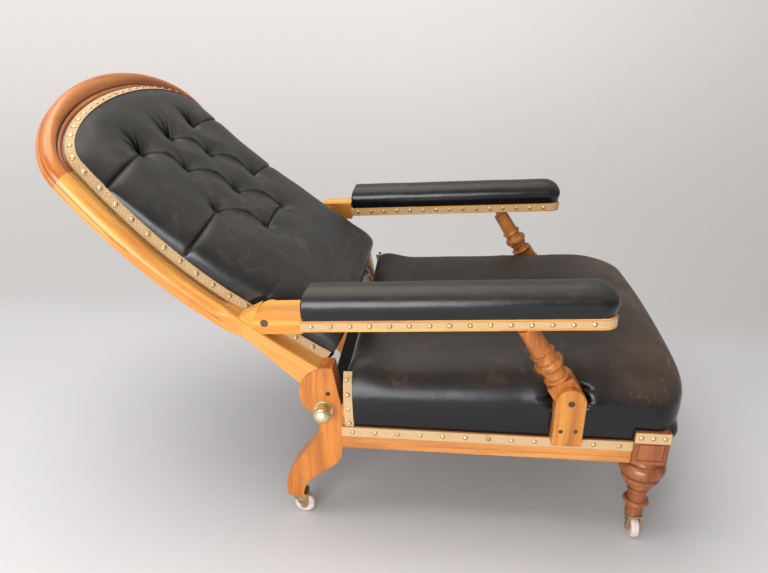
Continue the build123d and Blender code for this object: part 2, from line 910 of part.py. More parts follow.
def back_bottom_rail():
    half = plate_outer - plate_thickness
    plan = block(
        bottom_rail_start,
        bottom_rail_end,
        -half,
        half,
        -2 * overrun,
        2 * overrun,
    )
    return plan & bowed_slab(-frame_thickness, -bottom_rail_inset)


def back_cover():
    """Leather on the back of the frame: over the stiles and crest above, between the stiles below."""
    low_half = plate_outer - plate_thickness - running_fit - cover_thickness
    plan = shield_prism(stile_plain_end - cover_inset, cover_inset, crest_top - cover_inset)
    plan += block(
        bottom_rail_start,
        stile_plain_end + cover_inset,
        -low_half,
        low_half,
        -2 * overrun,
        2 * overrun,
    )
    return plan & bowed_slab(-frame_thickness - cover_thickness, -frame_thickness)


def stuffing_space():
    """The clear space inside the frame and over the bottom rail, as a tall prism."""
    low_half = plate_outer - plate_thickness - trim_gap
    crest = crest_curve(stile_top_width + trim_gap, crest_inner_top - trim_gap)
    step = plate_strap_end + soft_gap
    sides = Polyline(
        crest @ 0,
        (stile_plain_end, plate_outer - trim_gap),
        (step, plate_outer - trim_gap),
        (step, low_half),
        (bottom_rail_end + soft_gap, low_half),
        (bottom_rail_end + soft_gap, -low_half),
        (step, -low_half),
        (step, trim_gap - plate_outer),
        (stile_plain_end, trim_gap - plate_outer),
        crest @ 1,
    )
    return extrude(Pos(0, 0, -2 * overrun) * make_face([crest, sides]), 4 * overrun)


def back_gimp():
    outer_top = crest_top - crest_moulding_width
    outer = shield_prism(bottom_rail_start, moulding_width, outer_top)
    inner_start = bottom_rail_start - overrun
    inner = shield_prism(inner_start, moulding_width + gimp_width, outer_top - gimp_width)
    return (outer & bowed_slab(0, gimp_thickness)) - inner


def button_places():
    """Centres of the sunk buttons, as (up the back, across)."""
    places = []
    for row, up in enumerate(button_rows_up):
        row_shares = button_row_share_odd if row % 2 else button_row_share_even
        for share in row_shares:
            places.append((up, share * button_half_span))
    return places


def crown_at(up, across):
    """Height of the back pad's face over the frame's front face."""
    rise = crown_rises[-1]
    table = list(zip(crown_places, crown_rises))
    for (up_a, rise_a), (up_b, rise_b) in zip(table, table[1:]):
        if up <= up_b:
            rise = rise_a + (rise_b - rise_a) * max(0, up - up_a) / (up_b - up_a)
            break
    half = stile_half(up, moulding_width + gimp_width)
    share = min(1, max(0, half - abs(across)) / crown_shoulder)
    return crown_edge + (rise - crown_edge) * sqrt(1 - (1 - share) ** 2)


def crowned_sheet():
    """A loft of arched sections up the back that gives the pad its crown."""
    sections = []
    for up in crown_places:
        base = front_of_frame(up)
        half = stile_half(up, moulding_width + gimp_width)
        right = [(up, half * s, base + crown_at(up, half * s)) for s in crown_section_shares]
        left = [(x, -y, z) for x, y, z in right[1:]]
        arch = Spline(*(list(reversed(right)) + left))
        foot = base - back_pad_sink
        walls = Polyline(arch @ 1, (up, -half, foot), (up, half, foot), arch @ 0)
        sections.append(make_face([arch, walls]))
    return loft(sections)


def back_cushion():
    inset = moulding_width + gimp_width + trim_gap
    pad = shield_prism(back_pad_start, inset, back_pad_end - trim_gap) & crowned_sheet()
    pad -= bowed_slab(-2 * overrun, soft_gap) - stuffing_space()
    for tuft in tufts():
        pad -= tuft
    return pad.solids().sort_by(SortBy.VOLUME)[-1]


def tufts():
    """Cutters for the sunk buttons and the pleats that run between them."""
    cutters = []
    places = button_places()
    for up, across in places:
        face = front_of_frame(up) + crown_at(up, across)
        cone = Cone(0, tuft_radius * 2, tuft_depth * 2)
        cutters.append(Pos(up, across, face) * cone)
    row_step = button_rows_up[1] - button_rows_up[0]
    reach = hypot(row_step, button_half_span / 2) * pleat_reach_share
    for i, (up_a, across_a) in enumerate(places):
        for up_b, across_b in places[i + 1 :]:
            apart = hypot(up_b - up_a, across_b - across_a)
            if apart < reach and up_a != up_b:
                cutters.append(pleat((up_a, across_a), (up_b, across_b)))
    return cutters


def pleat(start, end):
    """A V-shaped channel between two buttons, cut a little below the pad's face."""
    heads = [Vector(up, y, front_of_frame(up) + crown_at(up, y)) for up, y in (start, end)]
    path = heads[1] - heads[0]
    channel = Plane(origin=heads[0], x_dir=path.cross(Vector(0, 0, 1)), z_dir=path)
    wide = 2 * pleat_half_width
    vee = Polyline((0, pleat_depth), (wide, -pleat_depth), (-wide, -pleat_depth), close=True)
    return extrude(channel * make_face(vee), path.length)


def back_buttons():
    buttons = []
    for up, across in button_places():
        face = front_of_frame(up) + crown_at(up, across) - tuft_depth
        seat = button_radius * tuft_depth / tuft_radius
        height = face + seat + soft_gap * 2
        body = Cylinder(button_radius, button_height / 2, align=(Align.CENTER, Align.CENTER, Align.MIN))
        dome = Pos(0, 0, button_height / 2) * Cone(
            button_radius, button_radius / 2, button_height / 2, align=(Align.CENTER, Align.CENTER, Align.MIN)
        )
        buttons.append(Pos(up, across, height) * (body + dome))
    return group(buttons)


def back_nails():
    """Nail heads along the middle of the back's gimp, standing on its face."""
    middle = moulding_width + gimp_width / 2
    top = crest_top - crest_moulding_width - gimp_width / 2
    heads = []
    head = nail()
    crest = crest_curve(middle, top)
    count = round(crest.length / back_nail_pitch)
    spots = [crest @ ((i + 0.5) / count) for i in range(count)]
    lower = bottom_rail_start + back_nail_pitch / 2
    straight = round((stile_top - lower) / back_nail_pitch)
    for i in range(straight):
        up = lower + (stile_top - lower) * i / straight
        if abs(up - arm_pivot_up_back - tail_radius) < tail_radius * 2:
            continue
        half = stile_half(up, middle)
        spots += [Vector(up, half, 0), Vector(up, -half, 0)]
    for spot in spots:
        tilt = degrees(asin((spot.X - bow_middle) / bow_radius))
        lift = front_of_frame(spot.X) + gimp_thickness / cos(radians(tilt)) + wood_fit
        heads.append(Pos(spot.X, spot.Y, lift) * Rot(Y=-tilt) * head)
    return group(heads)


def arm_ear():
    """A wedge on the stile's face, hollowed round the arm's tail, with a cheek inside the tail."""
    inner = leg_face - moulding_width + ear_inset
    up = arm_pivot_up_back
    seat = front_of_frame(up) - bow_depth
    tip_up = up + tail_radius + ear_tip_length
    wedge = side_slab(
        face_xz(
            [
                (up, seat),
                (tip_up, seat),
                (up + tail_radius, arm_pivot_before_back),
                (up, arm_pivot_before_back),
            ]
        ),
        inner,
        leg_face,
    )
    clear = tail_radius + stile_foot_gap
    cheek_outer = tail_face - tail_width - soft_gap
    wedge -= rod(up, arm_pivot_before_back, clear, cheek_outer, leg_face + overrun)
    wedge -= rod(up, arm_pivot_before_back, clear, inner, cheek_outer)
    reach = tail_radius - bow_depth
    cheek = rod(up, arm_pivot_before_back, reach, inner, cheek_outer)
    foot = block(up - reach, up + reach, inner, cheek_outer, seat, arm_pivot_before_back)
    ear = wedge + cheek + foot
    ear -= bowed_slab(-overrun, 0)
    ear -= rod(up, arm_pivot_before_back, arm_pin_radius + wood_fit, inner, leg_face)
    return ear.solids().sort_by(SortBy.VOLUME)[-1]


def arm_rear_pin():
    return headed_pin(
        arm_pivot_up_back,
        arm_pivot_before_back,
        arm_pin_radius,
        arm_pin_head_radius,
        -arm_pin_head_height,
        tail_face,
        leg_face - moulding_width + ear_inset,
    )


def hinge_plate():
    """Steel plate inside the stile: a hub on the hinge pin, a toothless lock sector and a strap."""
    near = plate_outer - plate_thickness
    far = plate_outer
    hub = rod(0, 0, plate_hub_radius, near, far)
    strap = block(0, plate_strap_end, near, far, -plate_strap_back, plate_strap_front)
    down = hinge_local_angle(hinge.X, hinge.Z - bolt_drop)
    corners = [(0, 0)]
    for turn in (-plate_sector_half_angle, plate_sector_half_angle):
        angle = down + radians(turn)
        reach = plate_sector_radius / cos(radians(plate_sector_half_angle))
        corners.append((reach * cos(angle), reach * sin(angle)))
    wedge = side_slab(face_xz(corners), near, far)
    sector = wedge & rod(0, 0, plate_sector_radius, near, far)
    plate = hub + strap + sector
    plate -= rod(0, 0, hinge_pin_radius + running_fit, near, far)
    at_bolt = hinge_local_angle(bolt_place.X, bolt_place.Z)
    reach = hypot(bolt_drop, bolt_behind)
    for lock in lock_angles:
        angle = at_bolt + radians(lock)
        plate -= rod(reach * cos(angle), reach * sin(angle), lock_hole_radius, near, far)
    for up in plate_screw_places:
        plate -= rod(up, -plate_middle(), plate_screw_radius + wood_fit, near, far)
    return plate


def hinge_local_angle(x, z):
    """Angle of a point about the hinge, in the back's own axes."""
    local = back_frame.to_local_coords(Vector(x, 0, z))
    return atan2(local.Z, local.X)


def hinge_plate_screws():
    screws = []
    outer = plate_outer + plate_screw_length - plate_thickness - wood_fit
    near = plate_outer - plate_thickness
    for up in plate_screw_places:
        shank = rod(up, -plate_middle(), plate_screw_radius, near, outer)
        head = rod(up, -plate_middle(), plate_screw_head_radius, near - plate_screw_head_height, near)
        screws.append(shank + head)
    return screws


def hinge_pin():
    """Plain pin from the leg's outer face, riveted over inside the hinge plate."""
    end = -plate_outer + plate_thickness + swivel_gap
    pin = rod(hinge.X, hinge.Z, hinge_pin_radius, -leg_face, end)
    return pin + rod(hinge.X, hinge.Z, hinge_pin_head_radius, end, end + hinge_pin_head_height)


def knob():
    """Brass knob, spring bolt and collar on one spindle that slides across the chair."""
    x = bolt_place.X
    z = bolt_place.Z
    base = leg_face + rose_thickness + knob_gap
    tip_end = plate_outer + bolt_tip_gap
    rim = base + knob_neck_length
    profile = [
        (0, tip_end),
        (bolt_tip_radius, tip_end),
        (bolt_tip_radius, tip_end + bolt_tip_length),
        (bolt_collar_radius, tip_end + bolt_tip_length),
        (bolt_collar_radius, tip_end + bolt_tip_length + bolt_collar_height),
        (bolt_radius, tip_end + bolt_tip_length + bolt_collar_height),
        (bolt_radius, base),
        (knob_neck_radius, base),
        (knob_neck_radius, rim),
        (knob_radius, rim + knob_rim_rise),
        (knob_radius, rim + knob_rim_rise + knob_rim_length),
    ]
    dome_base = rim + knob_rim_rise + knob_rim_length
    for angle in (15, 30, 45, 60, 75):
        turn = radians(angle)
        profile.append((knob_radius * cos(turn), dome_base + knob_dome * sin(turn)))
    profile.append((0, dome_base + knob_dome))
    return Pos(x, 0, z) * Rot(X=90) * turned(profile)


def knob_rose():
    """Flat ring on the leg round the spindle, its outer edge eased."""
    ring = rod(bolt_place.X, bolt_place.Z, rose_radius, -leg_face - rose_thickness, -leg_face)
    ring = chamfer(ring.faces().sort_by(Axis.Y)[0].edges(), rose_thickness / 3)
    bore = bolt_radius + running_fit
    return ring - rod(bolt_place.X, bolt_place.Z, bore, -leg_face - rose_thickness, -leg_face)


def coil(wire, radius, turns, length):
    """One unbroken round-wire spring standing on the XY plane."""
    pitch = (length - wire) / turns
    path = Helix(pitch, length - wire, radius)
    section = Plane(origin=path @ 0, z_dir=path % 0) * Circle(wire / 2)
    return Pos(0, 0, wire / 2) * sweep(section, path=path)


def bolt_spring():
    tip_end = plate_outer + bolt_tip_gap
    low = tip_end + bolt_tip_length + bolt_collar_height + knob_travel + swivel_gap
    high = leg_face - spring_shoulder - swivel_gap
    spring = coil(spring_wire, spring_coil_radius, spring_turns, high - low)
    return Pos(bolt_place.X, -low, bolt_place.Z) * Rot(X=90) * spring


def castor_sockets():
    sockets = []
    places = [
        (rear_castor_x, -leg_face + rear_leg_thickness / 2),
        (block_centre_x, -block_centre_y),
    ]
    inner = stem_radius + running_fit
    for x, y in places:
        flange = Pos(x, y, foot_sole - socket_flange / 2) * Cylinder(socket_radius, socket_flange)
        depth = stem_length + swivel_gap
        sleeve = Pos(x, y, foot_sole + depth / 2) * Cylinder(inner + socket_wall, depth)
        bore = Pos(x, y, foot_sole) * Cylinder(inner, 2 * depth)
        sockets.append(flange + sleeve - bore)
    return sockets


def castor(x, y, heading):
    """Fork with its stem, and the wheel, trailing along the heading in degrees from forward."""
    crown_top = foot_sole - socket_flange - swivel_gap
    crown_low = crown_top - fork_crown_thickness
    inside = wheel_width / 2 + wheel_side_gap
    outside = inside + cheek_thickness
    lead = castor_trail + cheek_end_radius - swivel_gap
    crown = block(-cheek_lead, lead, -outside, outside, crown_low, crown_top)
    cheeks = []
    for side in (-1, 1):
        y0, y1 = sorted((side * inside, side * outside))
        web = side_slab(
            face_xz(
                [
                    (-cheek_lead, crown_low),
                    (lead, crown_low),
                    (castor_trail + cheek_end_radius, wheel_radius),
                    (castor_trail - cheek_end_radius, wheel_radius),
                ]
            ),
            y0,
            y1,
        )
        cheeks.append(web + rod(castor_trail, wheel_radius, cheek_end_radius, y0, y1))
    fork = crown + cheeks[0] + cheeks[1]
    stem_top = foot_sole + stem_length
    stem = Pos(0, 0, (crown_low + stem_top) / 2) * Cylinder(stem_radius, stem_top - crown_low)
    fork += stem
    fork -= rod(castor_trail, wheel_radius, axle_radius + wood_fit, -outside, outside)
    head = axle_head_height
    axle = rod(castor_trail, wheel_radius, axle_radius, -outside, outside)
    axle += rod(castor_trail, wheel_radius, axle_head_radius, -outside - head, -outside)
    axle += rod(castor_trail, wheel_radius, axle_head_radius, outside, outside + head)
    wheel = rod(castor_trail, wheel_radius, wheel_radius, -wheel_width / 2, wheel_width / 2)
    wheel = fillet(wheel.edges(), wheel_rounding)
    bore = axle_radius + running_fit
    wheel -= rod(castor_trail, wheel_radius, bore, -wheel_width / 2, wheel_width / 2)
    place = Pos(x, y, 0) * Rot(Z=heading)
    return place * group([fork, axle]), place * wheel


def seat_sections():
    """Plan sections of the seat, each tilted a little towards the raised front."""
    faces = []
    rows = zip(
        seat_section_heights,
        seat_section_rears,
        seat_section_fronts,
        seat_section_halves,
        seat_front_corners,
        seat_rear_corners,
        seat_tilt_shares,
    )
    for z, rear, front, half, front_corner, rear_corner, tilt_share in rows:
        shape = Rectangle(front - rear, 2 * half).face()
        shape = shape.fillet_2d(front_corner, shape.vertices().sort_by(Axis.X)[-2:])
        shape = shape.fillet_2d(rear_corner, shape.vertices().sort_by(Axis.X)[:2])
        faces.append(Pos((front + rear) / 2, 0, z) * Rot(Y=-seat_tilt * tilt_share) * shape)
    return faces


def seat_cushion():
    """Stuffed leather seat: it caps the rails and is drawn in beside each arm support."""
    pad = loft(seat_sections(), ruled=True)
    low = seat_section_heights[0]
    half = rail_face - leather_rebate + soft_gap
    front = front_rail_face - leather_rebate + soft_gap
    pad -= block(
        -overrun, front, -half, half, low - overrun, rail_top + soft_gap
    )
    well = rail_face - rail_thickness
    pad -= block(
        rear_rail_front + overrun,
        front_rail_face - rail_thickness,
        -well,
        well,
        rail_top,
        spring_well_top,
    )
    recess_face = knuckle_outer - knuckle_thickness / 2 - big_ring_radius - recess_clearance
    for side in (-1, 1):
        y0, y1 = sorted((side * recess_face, side * (rail_face + overrun)))
        notch = block(recess_rear, recess_front, y0, y1, low - overrun, seat_section_heights[-1])
        inner_edges = notch.edges().filter_by(Axis.Z).sort_by(lambda e: abs(e.center().Y))[:2]
        pad -= fillet(inner_edges, recess_corner)
    for space in front_leg_spaces():
        pad -= space
    return pad.solids().sort_by(SortBy.VOLUME)[-1]


def upright_strip():
    """Braid that runs up the rear end of the seat's side and follows its swell."""
    levels = [(z, half) for z, half in zip(seat_section_heights, seat_section_halves)]
    sections = []
    for z, half in levels:
        if z > strip_head_height:
            break
        climb = (z - gimp_top) / (strip_head_height - gimp_top)
        x = strip_foot_x + (strip_head_x - strip_foot_x) * climb
        y = -half - soft_gap - gimp_thickness / 2
        sections.append(Pos(x, y, z) * Rectangle(strip_width, gimp_thickness))
    return loft(sections, ruled=True)


def seat_gimp():
    face = -rail_face
    bands = []
    bands.append(
        block(rear_leg_front, block_rear, face - gimp_thickness, face, rail_mould_top, gimp_top)
    )
    bands.append(upright_strip())
    over_block = block(
        block_rear,
        block_rear + block_width,
        -block_outer - gimp_thickness,
        -block_outer,
        block_gimp_bottom,
        block_top - soft_gap,
    )
    bands.append(over_block)
    pieces = bands + [mirrored(b) for b in bands]
    half = block_outer - block_width
    pieces.append(
        block(
            front_rail_face,
            front_rail_face + gimp_thickness,
            -half,
            half,
            rail_mould_top,
            gimp_top,
        )
    )
    return group(pieces)


def seat_nails():
    mid = (rail_mould_top + gimp_top) / 2
    face = -rail_face - gimp_thickness
    out = (0, -1, 0)
    edge = bracket_half_width + nail_radius
    start = rear_leg_front
    rows = nail_row(Vector(start, face, mid), Vector(bracket_pivot.X - edge, face, mid), side_nail_pitch, out)
    rows += nail_row(
        Vector(bracket_pivot.X + edge, face, mid), Vector(block_rear, face, mid), side_nail_pitch, out
    )
    block_mid = (block_gimp_bottom + block_top) / 2
    block_face = -block_outer - gimp_thickness
    rows += nail_row(
        Vector(block_rear, block_face, block_mid),
        Vector(block_rear + block_width, block_face, block_mid),
        side_nail_pitch / 2,
        out,
    )
    pieces = rows + [mirrored(r) for r in rows]
    half = block_outer - block_width
    front = front_rail_face + gimp_thickness
    pieces += nail_row(Vector(front, -half, mid), Vector(front, half, mid), side_nail_pitch, (1, 0, 0))
    return group(pieces)


def front_leg_spaces():
    """Square spaces round the front legs, for what has to stop short of them."""
    inner = block_outer - block_width - soft_gap
    spaces = []
    for side in (-1, 1):
        y0, y1 = sorted((side * inner, side * (block_outer + overrun)))
        far = block_rear + block_width + overrun
        spaces.append(block(block_rear - soft_gap, far, y0, y1, 0, block_top + soft_gap))
    return spaces


def seat_webbing():
    """Woven lattice nailed under the rails, its crossings drawn as one sheet."""
    top = rail_underside
    low = top - webbing_thickness
    half = rail_face - rail_thickness + webbing_lap
    rear = rear_rail_front + webbing_width / 2
    front = front_rail_face - rail_thickness + webbing_lap
    lattice = None
    for i in range(webbing_count):
        share = (i + 0.5) / webbing_count
        y = -half + 2 * half * share
        along = block(rear, front, y - webbing_width / 2, y + webbing_width / 2, low, top)
        x = rear + (front - rear) * share
        across = block(x - webbing_width / 2, x + webbing_width / 2, -half, half, low, top)
        lattice = along + across if lattice is None else lattice + along + across
    for space in front_leg_spaces():
        lattice -= space
    return lattice


def bottom_cloth():
    half = rail_face - rail_thickness / 2
    top = rail_underside - webbing_thickness
    front = front_rail_face - rail_thickness / 2
    cloth = block(rear_leg_front + soft_gap, front, -half, half, top - cloth_thickness, top)
    for space in front_leg_spaces():
        cloth -= space
    return cloth


def seat_springs():
    length = spring_well_top - rail_underside - soft_gap
    one = coil(seat_spring_wire, seat_spring_radius, seat_spring_turns, length)
    centre = (rear_rail_front + front_rail_face) / 2
    springs = []
    for i in range(seat_spring_columns):
        for j in range(seat_spring_rows):
            x = centre + (i - (seat_spring_columns - 1) / 2) * seat_spring_pitch_x
            y = (j - (seat_spring_rows - 1) / 2) * seat_spring_pitch_y
            springs.append(Pos(x, y, rail_underside) * one)
    return group(springs)


def on_back(shape):
    """A shape drawn in the back's own axes, set in the chair."""
    return back_frame.location * shape


nodes["front_rail"] = front_rail()
nodes["rear_rail"] = rear_rail()
pair("side_rail", side_rail())
pair("front_leg", front_leg())
pair("rear_leg", rear_leg())
pair("support_bracket", support_bracket())
both_sides("bracket_screws", bracket_screws())
both_sides("support_pins", [support_pin()])
both_sides("hinge_pins", [hinge_pin()])
both_sides("knob_roses", [knob_rose()])
both_sides("castor_sockets", castor_sockets())
nodes["seat_webbing"] = seat_webbing()
nodes["seat_springs"] = seat_springs()
nodes["bottom_cloth"] = bottom_cloth()
nodes["seat_cushion"] = seat_cushion()
nodes["seat_gimp"] = seat_gimp()
nodes["seat_nails"] = seat_nails()
pair("knob", knob())
pair("bolt_spring", bolt_spring())
pair("arm_support", arm_support())
pair("arm_rail", arm_rail())
pair("arm_front_pin", arm_front_pin())
pair("arm_gimp", arm_gimp())
pair("arm_nails", arm_nails())
pair("arm_pad", arm_pad())

right_stile = back_stile()
nodes["back_stile_right"] = on_back(right_stile)
nodes["back_stile_left"] = on_back(mirrored(right_stile))
nodes["crest_rail"] = on_back(crest_rail())
nodes["back_bottom_rail"] = on_back(back_bottom_rail())
nodes["back_cover"] = on_back(back_cover())
nodes["back_cushion"] = on_back(back_cushion())
nodes["back_buttons"] = on_back(back_buttons())
nodes["back_gimp"] = on_back(back_gimp())
nodes["back_nails"] = on_back(back_nails())
for name, shapes in (
    ("hinge_plates", [hinge_plate()]),
    ("hinge_plate_screws", hinge_plate_screws()),
    ("arm_ears", [arm_ear()]),
    ("arm_rear_pins", [arm_rear_pin()]),
):
    both_sides(name, shapes)
    nodes[name] = on_back(nodes[name])

for corner, x, y, heading in (
    ("rear_right", rear_castor_x, -leg_face + rear_leg_thickness / 2, 0),
    ("front_right", block_centre_x, -block_centre_y, -90),
):
    fork, wheel = castor(x, y, heading)
    nodes["castor_fork_" + corner] = fork
    nodes["castor_wheel_" + corner] = wheel
    other = corner.replace("right", "left")
    nodes["castor_fork_" + other] = mirrored(fork)
    nodes["castor_wheel_" + other] = mirrored(wheel)

boxes = [shape.bounding_box() for shape in nodes.values()]
rearmost = min(box.min.X for box in boxes)
foremost = max(box.max.X for box in boxes)
shift = -(rearmost + foremost) / 2
os.makedirs("parts", exist_ok=True)
for name, shape in nodes.items():
    export_step(Pos(shift, 0, 0) * shape, "parts/" + name + ".step")
print("moved forward by", round(shift, 3))
for label, point in (
    ("hinge", hinge),
    ("bracket pivot", bracket_pivot),
    ("arm pivot", arm_pivot),
    ("bolt", bolt_place),
):
    print(label, round(point.X + shift, 3), round(point.Z, 3))
print("length", round(foremost - rearmost, 3))
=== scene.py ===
"""Reclining open armchair: its looks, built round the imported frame.

Shapes are in millimetres until they are meshed; materials, lamps and the floor are in metres.
"""

import json
import math

import bmesh
import bpy
import numpy as np
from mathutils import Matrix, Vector


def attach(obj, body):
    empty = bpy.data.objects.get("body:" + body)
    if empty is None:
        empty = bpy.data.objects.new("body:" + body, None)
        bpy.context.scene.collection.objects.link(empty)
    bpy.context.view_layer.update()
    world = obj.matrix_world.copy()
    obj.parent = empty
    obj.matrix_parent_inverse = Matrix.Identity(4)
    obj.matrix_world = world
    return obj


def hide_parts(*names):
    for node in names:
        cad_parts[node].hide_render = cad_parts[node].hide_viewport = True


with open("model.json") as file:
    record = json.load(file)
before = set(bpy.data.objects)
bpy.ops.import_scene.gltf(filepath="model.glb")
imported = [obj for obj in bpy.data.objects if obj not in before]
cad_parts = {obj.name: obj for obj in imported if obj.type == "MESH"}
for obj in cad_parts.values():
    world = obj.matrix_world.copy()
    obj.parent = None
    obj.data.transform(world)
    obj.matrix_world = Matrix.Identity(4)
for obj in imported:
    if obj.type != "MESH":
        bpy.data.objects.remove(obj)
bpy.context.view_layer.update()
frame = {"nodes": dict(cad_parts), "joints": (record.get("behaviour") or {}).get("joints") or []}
joints = {joint["name"]: joint for joint in frame["joints"]}
metre = 1000.0

# Places read from the frame's joints
hinge_x, hinge_z = (metre * joints["back_recline"]["pos_m"][i] for i in (0, 2))
arm_pivot_x, arm_pivot_z = (metre * joints["arm_right_pivot"]["pos_m"][i] for i in (0, 2))
bracket_x, bracket_z = (metre * joints["support_right_pivot"]["pos_m"][i] for i in (0, 2))
back_slope = math.radians(43)
arm_slope = math.atan2(bracket_z - hinge_z, bracket_x - hinge_x)
support_lean = (hinge_x - arm_pivot_x) / (arm_pivot_z - hinge_z)
sides = {"right": -1, "left": 1}

# A step by which directions are found; spans, below, are where a change starts and how far it runs
small_step = 1.0

# Back frame
moulding_fade = (205, 37)
bow_radius = 1200
bow_middle = 320
bow_depth = 4.6
heel_out = -20
disc_clear_radius = 50.6
plain_end = 185
plain_half = 297
swell_places = (185, 260, 400, 541)
swell_halves = (297, 308, 318.5, 325)
stile_top = 541
crest_top = 675
crest_fullness = 2
crest_widening = 41 / 37
scarf_gap = 0.25
heel_points = 4
heel_blend = 28
heel_step = 1.5
frame_crisp = 50
stile_rows = 220
crest_rows = 420
edge_steps = 2000
climb_steps = 400
turn_steps = 801

# Outline of the moulding, as (inward from the frame's edge, out from its front face)
moulded = (
    (39.5, -31), (20, -31), (4, -31), (1.2, -30), (0, -27.4), (0, -23.5),
    (0.2, -20.8), (1.3, -19.6), (1.5, -18.8), (0.5, -17.6), (0.5, -14.6), (1.9, -10.6), (4.6, -6.4),
    (8.4, -3), (13, -1.1), (17.6, -1.1), (21.4, -2.9), (24.2, -5.7), (25.8, -8.4), (26.8, -9.2),
    (27.6, -7.6), (29.6, -6.2), (32.6, -5.2), (34.2, -6), (35, -6.7), (35.8, -4.9), (37.2, -3.9),
    (38.6, -4.8), (39.5, -8),
)
plain = (
    (39.5, -31), (20, -31), (3, -31), (0.9, -30.3), (0, -28.8), (0, -25),
    (0, -22), (0, -19), (0, -16), (0, -13), (0, -10), (0, -6.6), (0.1, -3.2),
    (0.8, -1), (2.6, -0.1), (6, 0), (10, 0), (14, 0), (18, 0), (22, 0),
    (26, 0), (29, 0), (32, 0), (34, 0), (35, 0), (36, 0), (37, 0),
    (38.4, -0.2), (39.5, -1.6),
)

# Hollows of the moulding that get painted shade, as first and last point, and darkness
moulding_hollows = ((7, 8, 0.7), (18, 20, 1), (23, 25, 0.8))

# Braid round the back, as (inward, out) of its outer and inner edge
braid_outer = (36.6, -2.6)
braid_inner = (49, 9.6)
braid_thickness = 1.7
braid_start = 37
braid_scallop = 0.9
braid_scallop_pitch = 7
braid_step = 1.1
braid_columns = 9
braid_lip = 0.06
braid_roundness = 0.25
braid_rib = 0.30
braid_rib_slant = 5
braid_crisp = 60
# Painted shade at the braid's edges: where it starts across the width, and its darkness
braid_dark_from = 0.8
braid_darkness = 0.6
nail_pitch = 33
nail_radius = 4.3
nail_height = 2
dome_foot = -1
dome_foot_share = 0.9

# Back pad
pad_inset = 48.6
pad_edge_out = 8.5
crown_places = (60, 76, 100, 130, 180, 250, 330, 420, 500, 560, 595, 614)
crown_rises = (74, 80, 82, 83, 83, 77, 67, 55, 42, 29, 18, 8.5)
pad_shoulder = 88
pad_fullness = 2.25
pad_foot = (
    (66, -2), (48, -2), (33, -1), (30, 4), (33, 13), (39, 27), (41, 42), (43, 58), (52.5, 73),
    (75, 82), (106, 83),
)
pad_foot_rows = 60
pad_rows = 236
pad_columns = 329
pad_row_step = 2.2
pad_crowding = 0.35
pad_roll_length = 50
pad_edge_low = 37
pad_edge_climb = 0.12
pad_edge_from = 44
pad_corner_drop = 10
pad_corner_up = 46
pad_corner_reach = 12
pad_guard = 9
pad_behind = 3
pad_behind_columns = 12

# Buttons: rows up the back, their places across, and how far out each row sits
wide_row = (-130, 0, 130)
narrow_row = (-65, 65)
button_rows = (
    (505, wide_row, 13), (437, narrow_row, 29), (346, wide_row, 41), (256, narrow_row, 55),
)
button_radius = 7.5
button_height = 4
button_lift = 1
pit_radius = 10
pit_spread = 40
pit_share = 0.40

# Folds, as depth, width on the crest's side, width below, bow towards the crest, and fading
diamond_fold = (12.5, 4.6, 16, 8, 0)
side_pleat = (6.5, 3.2, 6, 0, 0)
lower_fold = (8, 4.2, 14, 7, 0)
tuck = (12, 4.4, 4.4, 0, 1)
soft_tuck = (4, 4.5, 6, 0, 1)
neighbour_reach = 100
fold_sag = 0.3
fold_sharpness = 1.1
# Width of the painted shade along a crease, and the fold depth at which it is full
crease_width = 2
crease_full_depth = 9
lean_wander = 7

# Pleats from a row's ends to the sides of the pad, as row and fall
side_pleats = ((0, -16), (2, -14))

# Tucks round the buttons, as row, way up or down, leans in degrees with reaches, and kind
tuck_fans = (
    (0, 1, ((-58, 44), (-34, 62), (-11, 74), (12, 66), (37, 56)), tuck),
    (1, 1, ((-20, 24), (16, 28)), soft_tuck),
    (2, 1, ((-14, 30), (20, 24)), soft_tuck),
    (3, -1, ((-34, 46), (-8, 60), (22, 52)), soft_tuck),
)

# Seat plan from the braid up: heights, rear, front, half width, corner radii, and share of tilt
seat_levels = (207, 220, 236, 255, 275, 292, 307, 320, 332, 341)
seat_rears = (30, 28, 27, 26, 27, 29, 35, 47, 74, 122)
seat_fronts = (588, 599, 607, 613, 615, 610, 600, 584, 556, 512)
seat_halves = (298.5, 301, 303, 302.5, 299, 292, 280, 262, 232, 186)
seat_front_corners = (28, 34, 48, 62, 72, 80, 84, 86, 86, 80)
seat_rear_corners = (8, 8, 8, 10, 12, 16, 22, 30, 38, 44)
seat_tilts = (0, 0, 0, 0, 0.1, 0.3, 0.5, 0.8, 1, 1)
seat_tilt = math.tan(math.radians(3))
seat_crown = 6
seat_rows = 90
seat_crown_rows = 26
seat_breadth = 300
seat_middle = 300
base_inset = 0.1
seat_bow = 17
bow_power = 2.5
bow_along = (430, 150)
bow_upwards = (212, 30)
ripple_upwards = (300, 20)
rear_corner_lift = 13
lift_across = (190, 80)
lift_backwards = (-120, 80)
lift_upwards = (270, 40)

# Dents beside the arm supports
dent_face = 282.2
dent_rear_half = 28.8
dent_front_half = 25.2
dent_blend = 8
dent_low = 258
dent_rise = 9
dent_swell = 3.2
dent_swell_reach = 34
dent_swell_past = 8
dent_swell_along = (4, 14)
dent_swell_upwards = (225, 30)
dent_swell_beyond = 180
dent_foot_radius = 28.8
dent_foot_depth = 26
dent_outside = 40
dent_softness = 5
# Painted shade in the dents: how far the hide is pressed in before it starts, and the depth over which it
# becomes full
dent_shade = (1.5, 8)

# Nails on the braid at the rear of the seat's sides
strip_nail_heights = (216, 245, 273.5, 303)
strip_low = 208.6
strip_high = 313
strip_middle = 37
strip_lean = 4
strip_face = 303.6
strip_nail_share = 0.9

